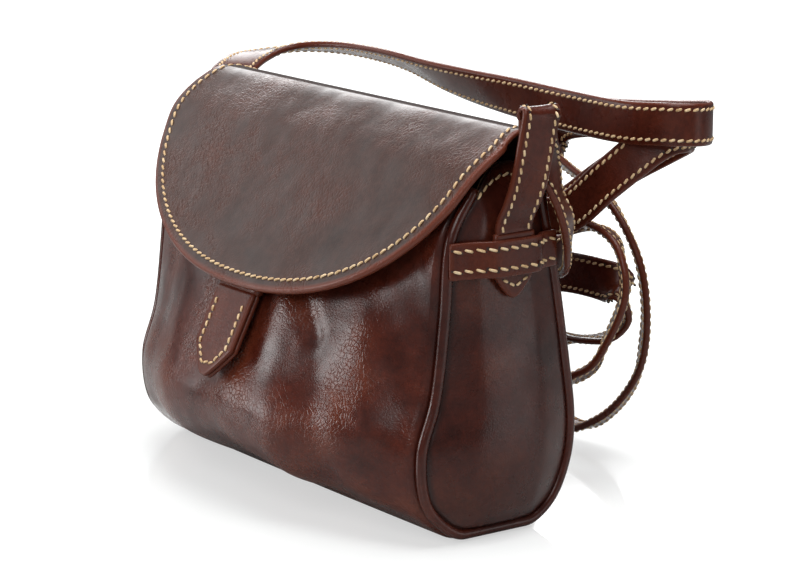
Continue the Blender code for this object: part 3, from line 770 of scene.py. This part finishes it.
GROOVE_SHADE_REACH = 3.5 * MM  # of the painted shade in the grooves beside the piping


def folds_at(x, y, z):
    """How far the worn leather of the body stands out or dips at a place."""
    height = BODY_NOISE * noise.noise(Vector((x, y, z)) * BODY_NOISE_SCALE)
    if y < 0:
        for low, high, rise, reach in FRONT_FOLDS:
            start, run = np.array(low) * MM, np.subtract(high, low) * MM
            share = np.dot((x, z) - start, run) / np.dot(run, run)
            gap = np.linalg.norm((x, z) - start - np.clip(share, *FOLD_SPAN_SHARES) * run)
            height += rise * MM * math.exp(-(gap / (reach * MM)) ** 2)
    height *= 1 - fade(z, *FOLD_CLEAR_TOP)
    height *= fade(z, *FOLD_CLEAR_BASE)
    height *= 1 - fade(abs(x), *FOLD_CLEAR_SIDE)
    if y < 0 and z > TAB_CLEAR_LOW:
        height *= fade(abs(x), *TAB_CLEAR)
    return height


def body_grid(columns, inset):
    grid = []
    for x, drop in columns:
        face = body_profile(x, 0.0)
        folds = np.array([folds_at(x, y, z) for y, z in face])
        line = body_profile(x, inset + drop) + outward(face) * folds[:, None]
        grid.append([(x, y, z) for y, z in line])
    return np.array(grid)


def build_body():
    # The panel's borders are darkened with painted shade of the grooves beside the piping
    panel = leather_sheet(
        "body_panel_leather", body_grid(rolled_ends(), 0.0), body_grid(rolled_ends(), BODY_LEATHER),
        BODY_BROWN, "bag", edge_wear_and_shade=GROOVE_SHADE_REACH,
    )
    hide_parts("body_panel")
    skin = BODY_LEATHER + CLEARANCE
    lining = leather_sheet(
        "body_panel_lining", body_grid(body_columns(), skin),
        body_grid(body_columns(), skin + LINING), LINING_TAN, "bag",
    )
    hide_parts("body_lining")


# Gussets and piping

PIPING_X = RING_HALF_WIDTH + PIPING_RADIUS + CLEARANCE
GUSSET_INSET = PIPING_INSET + PIPING_RADIUS + CLEARANCE
GUSSET_X = PIPING_X + PIPING_RADIUS / 2
# How quickly the gusset rises inside its edges, as slopes over its width and height
DOME_POWER = 0.8
SIDE_SLOPE = 4
MOUTH_SHARE = 0.15
MOUTH_SLOPE = 8
BASE_SLOPE = 6
CROWN_SLOPE = 4
# What the gusset's lining leaves free, in rows at the base and columns at the sides
LINING_BASE_ROWS = 4
LINING_SIDE_COLUMNS = 3
SWELL_STEPS = 8
SWELL = smooth([(i, s) for i, s in enumerate(SWELL_SHARES)], SWELL_STEPS)


def swell_at(share):
    return np.interp(share * (len(SWELL_SHARES) - 1), SWELL[:, 0], SWELL[:, 1])


def gusset_grid(sink, mirror):
    """Rows of points from the front edge to the back edge, mouth to floor."""
    profile = inset_profile(RING, GUSSET_INSET)
    count = len(RING_FRONT)
    front = profile[:count]
    back = profile[-count:][::-1]
    grid = []
    for i, (a, b) in enumerate(zip(front, back)):
        low = i / (count - 1)
        row = []
        for j in range(GUSSET_COLUMNS + 1):
            share = 0.5 - 0.5 * math.cos(math.pi * j / GUSSET_COLUMNS)
            dome = math.sin(math.pi * share) ** DOME_POWER
            y, z = a + share * (b - a)
            z += GUSSET_CROWN * dome * max(0.0, 1 - CROWN_SLOPE * low)
            side = SIDE_SLOPE * min(share, 1 - share)
            edge = min(1.0, side, MOUTH_SHARE + MOUTH_SLOPE * low, BASE_SLOPE * (1 - low))
            x = GUSSET_X + GUSSET_STEP * edge + GUSSET_SWELL * swell_at(low) * dome
            row.append(((x - sink) * mirror, y, z))
        grid.append(row)
    return np.array(grid)


def sweep(name, line, across, up, section, material):
    """A closed bar along a line; the section has (across, up, edge) for each point around it."""
    points = [
        centre + side * u + rise * v
        for centre, side, rise in zip(line, across, up) for u, v, _ in section
    ]
    edge = [rim for _ in line for _, _, rim in section]
    faces = ring_faces(len(line), len(section))
    piece = add_piece(name, points, faces, material, "bag", edge)
    face_outward(piece)
    return piece


def build_piping(side, mirror):
    line = inset_profile(RING, PIPING_INSET)
    path = np.array([(PIPING_X * mirror, y, z) for y, z in line])
    across = np.tile((1.0, 0.0, 0.0), (len(path), 1))
    up = np.cross(unit(np.gradient(path, axis=0)), across)
    angles = [2 * math.pi * k / PIPING_SIDES for k in range(PIPING_SIDES)]
    section = [(PIPING_RADIUS * math.cos(a), PIPING_RADIUS * math.sin(a), 0.0) for a in angles]
    bead = sweep(
        f"{side}_piping_bead", path, across, up, section, PIPING_BROWN
    )
    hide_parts(f"{side}_piping")


def build_side(side, mirror, seam):
    skin = GUSSET_LEATHER + CLEARANCE
    hem = gusset_grid(0.0, mirror)[HEM_ROW, HEM_END_COLUMNS:-HEM_END_COLUMNS]
    seam.run(hem, np.tile((mirror, 0.0, 0.0), (len(hem), 1)), slant=STITCH_SLANT)
    # The gusset's borders are darkened with painted shade of the grooves beside the piping
    gusset = leather_sheet(
        f"{side}_gusset_leather", gusset_grid(0.0, mirror), gusset_grid(GUSSET_LEATHER, mirror),
        GUSSET_BROWN, "bag", edge_wear_and_shade=GROOVE_SHADE_REACH,
    )
    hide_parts(f"{side}_gusset")
    near, far = (
        gusset_grid(sink, mirror)[:-LINING_BASE_ROWS, LINING_SIDE_COLUMNS:-LINING_SIDE_COLUMNS]
        for sink in (skin, skin + LINING)
    )
    lining = leather_sheet(
        f"{side}_gusset_inside", near, far, LINING_TAN, "bag"
    )
    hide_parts(f"{side}_gusset_lining")


# Flap

HINGE_Y = (
    np.interp(HINGE_Z, MIDDLE_BACK[:, 1], MIDDLE_BACK[:, 0]) + CLEARANCE + FLAP_LEATHER / 2
)
FLAP_LINE = smooth(
    [(HINGE_Y + FLAP_LEATHER / 2, HINGE_Z), *to_sizes(FLAP_PROFILE_SHARES)], PROFILE_STEPS
)
# The dark, matt strip of painted shade across the flap's crest, where it turns away, from front to
# back
CREST_SHADE_START = (9 * MM, 11 * MM)
CREST_SHADE_END = (26 * MM, 29 * MM)
CREST_SHADE_LOW = (150 * MM, 158 * MM)
STRIP_END = 1.5 * MM  # below the hinge line
RIM_FOLD = (5 * MM, 2 * MM)  # from the flap's end, where its leather closes over the lining
FLAP_LINING_BORDER = 3.2 * MM
FLAP_LINING_COLUMN = 6


def flap_half(length):
    """Half of the flap's width at a length along it."""
    return FLAP_HALF_WIDTH - FLAP_BACK_TAPER * np.clip(1 - length / FLAP_SHOULDER, 0, 1)


def flap_surface(x, length, depth):
    """Points of the flap at x and at a length along it, depth below its outer face."""
    x, length, depth = np.broadcast_arrays(x, length, depth)
    ahead, behind = along(FLAP_LINE, length + MM), along(FLAP_LINE, length - MM)
    way = unit(ahead - behind)
    place = along(FLAP_LINE, length)
    return np.stack(
        [x, place[..., 0] - depth * way[..., 1], place[..., 1] + depth * way[..., 0]], axis=-1
    )


def flap_end(angle):
    """(x, length) of the flap's edge for an angle from -90 to 90."""
    power = 2 / FLAP_ROUNDNESS
    across = math.copysign(abs(math.sin(math.radians(angle))) ** power, angle)
    reach = abs(math.cos(math.radians(angle))) ** power
    return across, FLAP_SHOULDER + (FLAP_LENGTH - FLAP_SHOULDER) * reach


def strip_surface(x, length, thick):
    """The sewn-down end on the bag's back; length is negative, below the hinge line."""
    z = HINGE_Z + length
    back = body_profile(x, 0.0)[-len(RING_BACK) :]
    seat = np.interp(z, back[:, 1], back[:, 0]) + CLEARANCE
    return np.array((x, seat + thick, z))


def flap_grids():
    """Outer and inner points of the flap and its sewn-down end, as one leather."""
    outer, inner = [], []
    strip = np.linspace(-STRIP_TOP_DROP - STRIP_HEIGHT, -STRIP_END, STRIP_ROWS)
    for j in range(FLAP_COLUMNS + 1):
        across, end = flap_end(180 * j / FLAP_COLUMNS - 90)
        half = FLAP_HALF_WIDTH - FLAP_BACK_TAPER
        thin = FLAP_LEATHER - STRIP_SKIVED
        low_out = [strip_surface(across * half, s, thin) for s in strip]
        low_in = [strip_surface(across * half, s, 0.0) for s in strip]
        lengths = np.linspace(0, 1, FLAP_ROWS) * end
        x = across * flap_half(lengths)
        flap_in = np.full(len(lengths), FLAP_LEATHER)
        flap_in += (FLAP_LINING + CLEARANCE) * fade(end - lengths, *RIM_FOLD)
        outer.append(np.concatenate([low_out, flap_surface(x, lengths, 0.0)]))
        inner.append(np.concatenate([low_in, flap_surface(x, lengths, flap_in)]))
    return np.array(outer), np.array(inner)


def flap_outline(inset):
    """The flap's edge, moved in, in the leather's own flat coordinates (x, length)."""
    sides = np.linspace(FLAP_SEAM_START, FLAP_SHOULDER, OUTLINE_STEPS)
    points = [(-flap_half(s), s) for s in sides]
    for angle in range(-89, 90):
        across, end = flap_end(angle)
        points.append((across * FLAP_HALF_WIDTH, end))
    points += [(flap_half(s), s) for s in sides[::-1]]
    flat = np.array(points)
    way = unit(np.gradient(flat, axis=0))
    return flat + inset * np.stack([way[:, 1], -way[:, 0]], axis=1)


def on_flap(flat):
    """Surface points and outward normals for flat coordinates on the flap."""
    top = flap_surface(flat[:, 0], flat[:, 1], 0.0)
    below = flap_surface(flat[:, 0], flat[:, 1], MM)
    return top, unit(top - below)


def build_flap():
    outer, inner = flap_grids()
    flap = leather_sheet(
        "flap_outer_leather", outer, inner, FLAP_BROWN, None,
        bulge=FLAP_RIM_SHARE, edge_wear_and_shade=FLAP_WORN_BORDER,
    )
    # The painted shade across the flap's crest, as a share at each point
    crest_shade = flap.data.attributes.new("crest_shade", "FLOAT", "POINT")
    depths = np.array([vertex.co.y for vertex in flap.data.vertices])
    heights = np.array([vertex.co.z for vertex in flap.data.vertices])
    share = fade(depths, *CREST_SHADE_START) * (1 - fade(depths, *CREST_SHADE_END)) * fade(heights, *CREST_SHADE_LOW)
    crest_shade.data.foreach_set("value", share.astype(np.float32))
    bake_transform(flap)
    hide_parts("flap_outer", "flap_hinge_strip")

    skin = FLAP_LEATHER + CLEARANCE
    near, far = [], []
    for j in range(FLAP_LINING_COLUMN, FLAP_COLUMNS - FLAP_LINING_COLUMN + 1):
        across, end = flap_end(180 * j / FLAP_COLUMNS - 90)
        lengths = np.linspace(FLAP_LINING_BORDER, end - FLAP_LINING_BORDER, FLAP_ROWS)
        x = across * (flap_half(lengths) - FLAP_LINING_BORDER)
        near.append(flap_surface(x, lengths, skin))
        far.append(flap_surface(x, lengths, skin + FLAP_LINING))
    lining = leather_sheet(
        "flap_inside", np.array(near), np.array(far), LINING_TAN, "flap"
    )
    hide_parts("flap_lining")

    seam = Seam("flap", "flap")
    line, normals = on_flap(flap_outline(FLAP_SEAM_INSET))
    seam.run(line, normals, slant=STITCH_SLANT)
    seam.finish()


# Closing tab

FLAP_DEPTH = FLAP_LEATHER + CLEARANCE + FLAP_LINING
TAB_THICK = 2 * TAB_LAYER + CLEARANCE / 2
TAB_DEPTH = FLAP_DEPTH + CLEARANCE + TAB_THICK / 2
TAB_HINGE = flap_surface(0.0, FLAP_LENGTH + TAB_OUT, TAB_DEPTH)[1:]
TAB_WAY = -np.array([math.sin(math.radians(TAB_LEAN)), math.cos(math.radians(TAB_LEAN))])
TAB_NORMAL = np.array([TAB_WAY[1], -TAB_WAY[0]])
TAB_CURVE_POWER = 0.85
TAB_FOLD_SHARE = 0.05  # least height of the rounded fold, squared


def tab_point(x, down, height):
    y, z = TAB_HINGE + down * TAB_WAY + height * TAB_NORMAL
    return np.array((x, y, z))


def tab_half(down):
    """Half of the tab's width at a place down from its hinge line."""
    straight = TAB_LENGTH - TAB_POINT
    share = np.clip((down - straight) / TAB_POINT, 0, 1)
    return TAB_TIP + (TAB_WIDTH / 2 - TAB_TIP) * (1 - share) ** TAB_CURVE_POWER


def build_tab():
    downs = np.concatenate([
        np.linspace(-TAB_THICK / 2, TAB_LENGTH - TAB_POINT, TAB_ROWS)[:-1],
        np.linspace(TAB_LENGTH - TAB_POINT, TAB_LENGTH, TAB_POINT_ROWS),
    ])
    gap = CLEARANCE / 4
    radius = TAB_THICK / 2
    for name, side, node in (
        ("closing_tab_face", 1, "closure_tab_face"), ("closing_tab_back", -1, "closure_tab_backing")
    ):
        outer, inner = [], []
        for down in downs:
            height = radius * math.sqrt(max(TAB_FOLD_SHARE, 1 - min(0.0, down / radius) ** 2))
            xs = tab_half(down) * np.linspace(-1, 1, TAB_COLUMNS)
            outer.append([tab_point(x, down, side * height) for x in xs])
            inner.append([tab_point(x, down, side * gap) for x in xs])
        piece = leather_sheet(
            name, np.array(outer), np.array(inner), STRAP_BROWN, "closure_tab"
        )
        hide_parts(node)
    root_end = FLAP_LENGTH + TAB_OUT - TAB_THICK / 2 - CLEARANCE
    lengths = np.linspace(FLAP_LENGTH - TAB_ROOT_LENGTH, root_end, ROOT_ROWS)
    xs = np.linspace(-TAB_WIDTH / 2, TAB_WIDTH / 2, ROOT_COLUMNS)
    near = flap_surface(xs[None, :], lengths[:, None], TAB_DEPTH - TAB_THICK / 2)
    far = flap_surface(xs[None, :], lengths[:, None], TAB_DEPTH + TAB_THICK / 2)
    root = leather_sheet("closing_tab_root", near, far, STRAP_BROWN, "flap")
    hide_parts("closure_tab_root")

    seam_end = TAB_LENGTH - TAB_SEAM_TIP * TAB_SEAM_INSET
    downs = np.concatenate([
        np.linspace(TAB_SEAM_TOP, TAB_LENGTH - TAB_POINT, TAB_SEAM_STEPS),
        np.linspace(TAB_LENGTH - TAB_POINT, seam_end, TAB_SEAM_STEPS)[1:],
    ])
    outline = [(-max(tab_half(d) - TAB_SEAM_INSET, 0.0), d) for d in downs]
    outline += [(-x, d) for x, d in outline[-2::-1]]
    line = np.array([tab_point(x, d, TAB_THICK / 2) for x, d in outline])
    normals = np.tile((0.0, *TAB_NORMAL), (len(line), 1))
    seam = Seam("closing_tab", "closure_tab")
    seam.run(line, normals, slant=STITCH_SLANT, spacing=TAB_SPACING)
    seam.finish()


# Side bands and strap ends

STRAP_INNER_X = GUSSET_X + GUSSET_STEP + SWELL_SHARES[2] * GUSSET_SWELL + CLEARANCE
BAND_TOP = BAND_LOW + BAND_HEIGHT


def band_line():
    over_piping = PIPING_X + PIPING_RADIUS + CLEARANCE
    over_strap = STRAP_INNER_X + STRAP_THICK + CLEARANCE
    front = STRAP_MIDDLE_Y - STRAP_WIDTH / 2
    back = STRAP_MIDDLE_Y + STRAP_WIDTH / 2
    return smooth(
        [(over_piping, -BAND_FRONT), (over_piping + BAND_LEATHER, front - 2 * BAND_SHOULDER),
         (over_strap, front - CLEARANCE), (over_strap, back + CLEARANCE),
         (over_piping + BAND_LEATHER, back + BAND_SHOULDER + 2 * CLEARANCE),
         (over_piping, BAND_BACK)],
        PROFILE_STEPS,
    )


def build_band(side, mirror, seam):
    line = band_line()
    way = np.gradient(line, axis=0)
    out = unit(np.stack([way[:, 1], -way[:, 0]], axis=1))
    out *= np.sign(out[len(out) // 2, 0])
    heights = np.linspace(BAND_LOW, BAND_TOP, BAND_ROWS)

    def grid(flat):
        return np.array([[(x * mirror, y, z) for z in heights] for x, y in flat])

    band = leather_sheet(
        f"{side}_band_leather", grid(line + out * BAND_LEATHER), grid(line), STRAP_BROWN, "bag",
    )
    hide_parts(f"{side}_side_band")
    face = line + out * BAND_LEATHER
    normals = np.array([(x * mirror, y, 0.0) for x, y in out])
    for z in (BAND_LOW + BAND_SEAM_INSET, BAND_TOP - BAND_SEAM_INSET):
        row = np.array([(x * mirror, y, z) for x, y in face])
        seam.run(row, normals, slant=-STITCH_SLANT * mirror, spacing=BAND_SPACING)


END_TIP_SHARE = 0.08  # of the strap's width that the point keeps
END_CURVE_POWER = 0.75


def build_strap_end(side, mirror, seam):
    tip = BAND_LOW - STRAP_TIP_DROP
    heights = np.concatenate([
        np.linspace(tip, BAND_LOW, END_POINT_ROWS),
        np.linspace(BAND_LOW, BAND_TOP, END_ROWS)[1:],
        [BAND_TOP + STRAP_LEAD],
    ])
    curve = np.clip((heights - tip) / STRAP_TIP_DROP, 0, 1) ** END_CURVE_POWER
    shares = END_TIP_SHARE + (1 - END_TIP_SHARE) * curve

    def grid(x):
        return np.array([
            [(x * mirror, STRAP_MIDDLE_Y + STRAP_WIDTH / 2 * share * place, z)
             for place in np.linspace(-1, 1, END_COLUMNS)]
            for z, share in zip(heights, shares)
        ])

    end = leather_sheet(
        f"{side}_strap_end_leather", grid(STRAP_INNER_X + STRAP_THICK), grid(STRAP_INNER_X),
        STRAP_BROWN, "bag",
    )
    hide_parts(f"{side}_strap_end")
    half = STRAP_WIDTH / 2 - END_SEAM_INSET
    corner = BAND_LOW - END_SEAM_DROP
    point = tip + END_SEAM_TIP * END_SEAM_INSET
    outline = np.array([
        ((STRAP_INNER_X + STRAP_THICK) * mirror, STRAP_MIDDLE_Y + y, z)
        for y, z in ((-half, corner), (0.0, point), (half, corner))
    ])
    normals = np.tile((mirror, 0.0, 0.0), (2, 1))
    seam.run(outline[:2], normals, spacing=END_SPACING)
    seam.run(outline[1:], normals, spacing=END_SPACING)


# Shoulder strap

STRAP_ROUTE = [
    # right side band, up to the fold and down behind it
    ((116.2, 5.3, 129.8), (0, 1, 0)),
    ((116.2, 5.3, 132), (0, 1, 0)),
    ((117, 6, 136), (0, 1, 0)),
    ((120, 7, 143), (0, 1, 0)),
    ((122, 9, 153), (0, 1, 0)),
    ((123, 12, 170), (0, 1, 0)),
    ((123.5, 13, 177), (0, 1, 0)),
    ((123, 13.5, 179), (0, 1, 0)),
    ((121, 14, 180), (0, 1, 0)),
    ((119, 14.5, 179), (0, 1, 0)),
    ((118.5, 15, 177), (0, 1, 0)),
    ((118, 16, 170), (0, 1, 0)),
    ((117, 20, 160), (-0.2, 1, 0)),
    ((115, 26, 151), (-0.5, 0.85, 0)),
    ((114, 30, 141), (-0.7, 0.7, 0.1)),
    ((114, 35, 130), (-0.6, 0.6, 0.4)),
    ((109, 40, 120), (-0.5, 0.5, 0.7)),
    ((99, 45, 112), (-0.4, 0.3, 0.85)),
    # behind the body and back
    ((80, 47, 109), (-0.2, 0, 1)),
    ((50, 49, 109), (0, 0, 1)),
    ((38, 56, 111), (0, 0, 1)),
    ((44, 65, 114), (0, 0, 1)),
    # the front one of the two slanting runs, and its turn at the right
    ((70, 71, 123), (-0.4, 0, 0.9)),
    ((88, 77, 139), (-0.5, 0, 0.85)),
    ((102, 89, 155), (-0.3, 0, 0.95)),
    ((108, 95, 160), (0, 0, 1)),
    ((111, 101, 161), (0, 0, 1)),
    ((106, 108, 160), (0, 0, 1)),
    # the rear one, and its turn behind the body
    ((90, 108, 152), (-0.3, 0, 0.95)),
    ((70, 105, 141), (-0.4, 0, 0.9)),
    ((51, 103, 129), (-0.45, 0, 0.9)),
    ((35, 102, 118), (-0.4, 0, 0.9)),
    ((23, 99, 111), (-0.2, 0, 1)),
    ((20, 92, 109), (0, 0, 1)),
    ((28, 87, 110), (0, -0.1, 1)),
    # the inner loop
    ((42, 85, 113), (0, -0.5, 0.85)),
    ((60, 85, 116), (0.2, -0.8, 0.5)),
    ((80, 84, 114), (0.6, -0.8, 0.2)),
    ((94, 81, 105), (0.8, -0.6, 0.2)),
    ((98, 80, 90), (0.8, -0.6, 0.1)),
    ((90, 78, 70), (0.8, -0.6, 0.2)),
    ((80, 75, 54), (0.7, -0.6, 0.4)),
    ((60, 70, 44), (0.4, -0.8, 0.2)),
    ((28, 67, 43), (0.1, -0.6, 0.8)),
    ((8, 71, 45), (0, 0, 1)),
    ((3, 82, 48), (0, -0.1, 1)),
    ((12, 92, 52), (0, -0.4, 0.9)),
    # the small loop in the middle
    ((32, 97, 57), (0, -0.9, 0.5)),
    ((54, 96, 60), (0.1, -1, 0.1)),
    ((71, 97, 66), (0.6, -0.8, -0.1)),
    ((78, 98, 76), (0.8, -0.5, -0.3)),
    ((78, 95, 87), (0.5, -0.4, -0.7)),
    ((66, 92, 90), (0.1, -0.1, -1)),
    ((40, 91, 89), (0, -0.1, -1)),
    ((15, 95, 83), (-0.3, -0.5, -0.8)),
    ((-3, 102, 65), (-0.1, -1, -0.1)),
    ((-8, 107, 45), (0, -1, 0)),
    ((-4, 110, 24), (0, -1, 0)),
    ((8, 113, 11), (0, -1, 0)),
    # the large outer loop
    ((25, 116, 9), (0, -1, 0)),
    ((42, 119, 19), (0.4, -0.9, 0)),
    ((56, 120, 34), (0.6, -0.8, 0)),
    ((65, 119, 52), (0.8, -0.6, 0.1)),
    ((68, 118, 73), (0.8, -0.6, 0.1)),
    ((64, 117, 94), (0.8, -0.6, 0.1)),
    ((51, 117, 111), (0.7, -0.7, 0.3)),
    ((34, 118, 122), (0.4, -0.8, 0.4)),
    ((14, 120, 127), (0.2, -0.8, 0.6)),
    ((-6, 122, 134), (-0.3, -0.6, 0.7)),
    ((-3, 122, 146), (-0.6, -0.3, 0.7)),
    ((18, 121, 153), (-0.3, 0, 0.95)),
    # behind the long upper run, round its right end and back along it
    ((56, 119, 157), (-0.1, 0, 1)),
    ((90, 118, 161), (-0.1, 0, 1)),
    ((110, 114, 164), (0, 0, 1)),
    ((120, 106, 165), (0, 0, 1)),
    ((123, 95, 166), (0, 0, 1)),
    ((114, 86, 166), (0, 0, 1)),
    ((94, 80, 165), (0, 0, 1)),
    ((60, 80, 165), (0, 0, 1)),
    ((24, 80, 166), (0, -0.15, 1)),
    ((-8, 80, 167), (0, -0.4, 0.9)),
    ((-40, 80, 169), (0, -0.65, 0.75)),
    ((-70, 81, 172), (0, -0.85, 0.55)),
    ((-98, 81, 173), (0, -0.93, 0.42)),
    # the left end and its side band
    ((-120, 77, 173), (0.35, -0.9, 0.3)),
    ((-136, 68, 172), (0.75, -0.65, 0.2)),
    ((-142, 54, 170), (1, 0, 0.1)),
    ((-137, 40, 169), (0.9, 0.4, -0.1)),
    ((-129, 27, 166), (0.8, 0.5, -0.3)),
    ((-122, 17, 160), (0.4, 0.7, -0.5)),
    ((-119, 10, 150), (0.1, 0.9, -0.4)),
    ((-117, 6, 139), (0, 1, -0.1)),
    ((-116.2, 5.3, 132), (0, 1, 0)),
    ((-116.2, 5.3, 129.8), (0, 1, 0)),
]
STRAP_STEPS = 8
STRAP_EDGE_SHARE = 0.8  # how far the rounded edges stand out, of half the thickness


def strap_frames():
    """Middle line, width direction and face direction of the strap."""
    line = smooth([np.array(place) * MM for place, _ in STRAP_ROUTE], STRAP_STEPS)
    across = smooth([np.array(way, float) for _, way in STRAP_ROUTE], STRAP_STEPS)
    way = unit(np.gradient(line, axis=0))
    across = unit(across - way * np.sum(way * across, axis=1, keepdims=True))
    return line, across, np.cross(way, across)


def strap_section():
    """Points around the strap as (across, up, edge): two flat faces with rounded edges between."""
    rim = STRAP_EDGE_SHARE * STRAP_THICK / 2
    flat = STRAP_WIDTH / 2 - rim
    section = []
    for way in (1, -1):
        faces = np.linspace(-flat, flat, STRAP_FACE_POINTS)
        section += [(way * u, way * STRAP_THICK / 2, 0.0) for u in faces]
        for k in range(1, STRAP_EDGE_STEPS):
            angle = math.pi * k / STRAP_EDGE_STEPS
            u, v = flat + rim * math.sin(angle), STRAP_THICK / 2 * math.cos(angle)
            section.append((way * u, way * v, 1.0))
    return section


def build_shoulder_strap():
    line, across, face = strap_frames()
    strap = sweep(
        "shoulder_strap_leather", line, across, face, strap_section(), STRAP_BROWN,
    )
    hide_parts("shoulder_strap")

    seam = Seam("shoulder_strap", "bag")
    offset = STRAP_WIDTH / 2 - STRAP_SEAM_INSET
    for side in (-1, 1):
        for top in (-1, 1):
            row = line + across * side * offset + face * top * STRAP_THICK / 2
            seam.run(row, face * top, STITCH_SLANT, STRAP_SPACING, lift=-STRAP_SINK)
    thread, holes = seam.finish()


# Snap, floor and light


def dress_snap():
    for name in ("snap_stud", "snap_socket"):
        for slot in bpy.data.objects[name].material_slots:
            slot.material = STEEL


WHITE = (1.0, 1.0, 1.0)
FLOOR_WHITE = (0.52, 0.535, 0.53)
FLOOR_ROUGHNESS = 0.10
FLOOR_HALF_SIZE = 6.0
FLOOR_DROP = 0.4 * MM
GLOW_REACH = (120 * MM, 600 * MM)
GLOW = (0.57, 1.0)
WORLD_LIGHT = 0.18


def floor_material():
    """Glossy white, which the camera sees grow to plain white away from the bag."""
    floor = Surface("white_floor")
    away = floor.add("VectorMath", {0: floor.place}, operation="LENGTH").outputs["Value"]
    glow = floor.spread(away, *GLOW_REACH, *GLOW)
    camera = floor.add("LightPath").outputs["Is Camera Ray"]
    seen = floor.add("Math", {0: glow, 1: camera}, operation="MULTIPLY").outputs["Value"]
    return floor.finish({
        "Base Color": FLOOR_WHITE, "Roughness": FLOOR_ROUGHNESS,
        "Emission Color": WHITE, "Emission Strength": seen,
    })


def build_floor():
    size = FLOOR_HALF_SIZE
    mesh = bpy.data.meshes.new("white_floor")
    corners = [(-size, -size, 0.0), (size, -size, 0.0), (size, size, 0.0), (-size, size, 0.0)]
    mesh.from_pydata(corners, [], [(0, 1, 2, 3)])
    floor = bpy.data.objects.new("white_floor", mesh)
    floor.location.z = -FLOOR_DROP
    mesh.materials.append(floor_material())
    link(floor)


def build_world():
    """White to the camera, and a faint light for the rest."""
    world = Surface("studio", bpy.data.worlds, "Background")
    camera = world.add("LightPath").outputs["Is Camera Ray"]
    seen = world.spread(camera, 0.0, 1.0, WORLD_LIGHT, 1.0)
    bpy.context.scene.world = world.finish({"Color": WHITE, "Strength": seen})


# Softboxes: name, place and size in metres, power in watts; all face the middle of the bag
LIGHT_AIM = (0.0, 0.0, 0.08)
LIGHTS = [
    ("top_softbox", (0.1, 0.1, 1.3), (1.0, 1.0), 17.0),
    ("rear_left_softbox", (-1.0, 0.62, 0.62), (0.7, 0.45), 6.5),
    ("left_softbox", (-1.1, -0.30, 0.62), (1.0, 0.6), 2.6),
    ("front_left_softbox", (-0.75, -0.98, 0.26), (0.6, 0.35), 4.0),
    ("front_softbox", (0.9, -1.2, 1.1), (0.9, 0.9), 10.0),
    ("right_softbox", (0.95, 0.60, 0.12), (0.6, 0.2), 0.6),
]


def build_lights():
    for name, place, size, power in LIGHTS:
        data = bpy.data.lights.new(name, "AREA")
        data.shape = "RECTANGLE"
        data.size, data.size_y = size
        data.energy = power
        light = bpy.data.objects.new(name, data)
        light.location = place
        way = Vector(LIGHT_AIM) - Vector(place)
        light.rotation_euler = way.to_track_quat("-Z", "Y").to_euler()
        link(light)


def main():
    load_camera()
    build_shoulder_strap()
    build_body()
    build_flap()
    build_tab()
    seam = Seam("side", "bag")
    for side, mirror in (("left", -1), ("right", 1)):
        build_side(side, mirror, seam)
        build_piping(side, mirror)
        build_band(side, mirror, seam)
        build_strap_end(side, mirror, seam)
    seam.finish()
    dress_snap()
    build_floor()
    build_world()
    build_lights()
    bpy.context.scene.view_settings.view_transform = "Standard"


main()
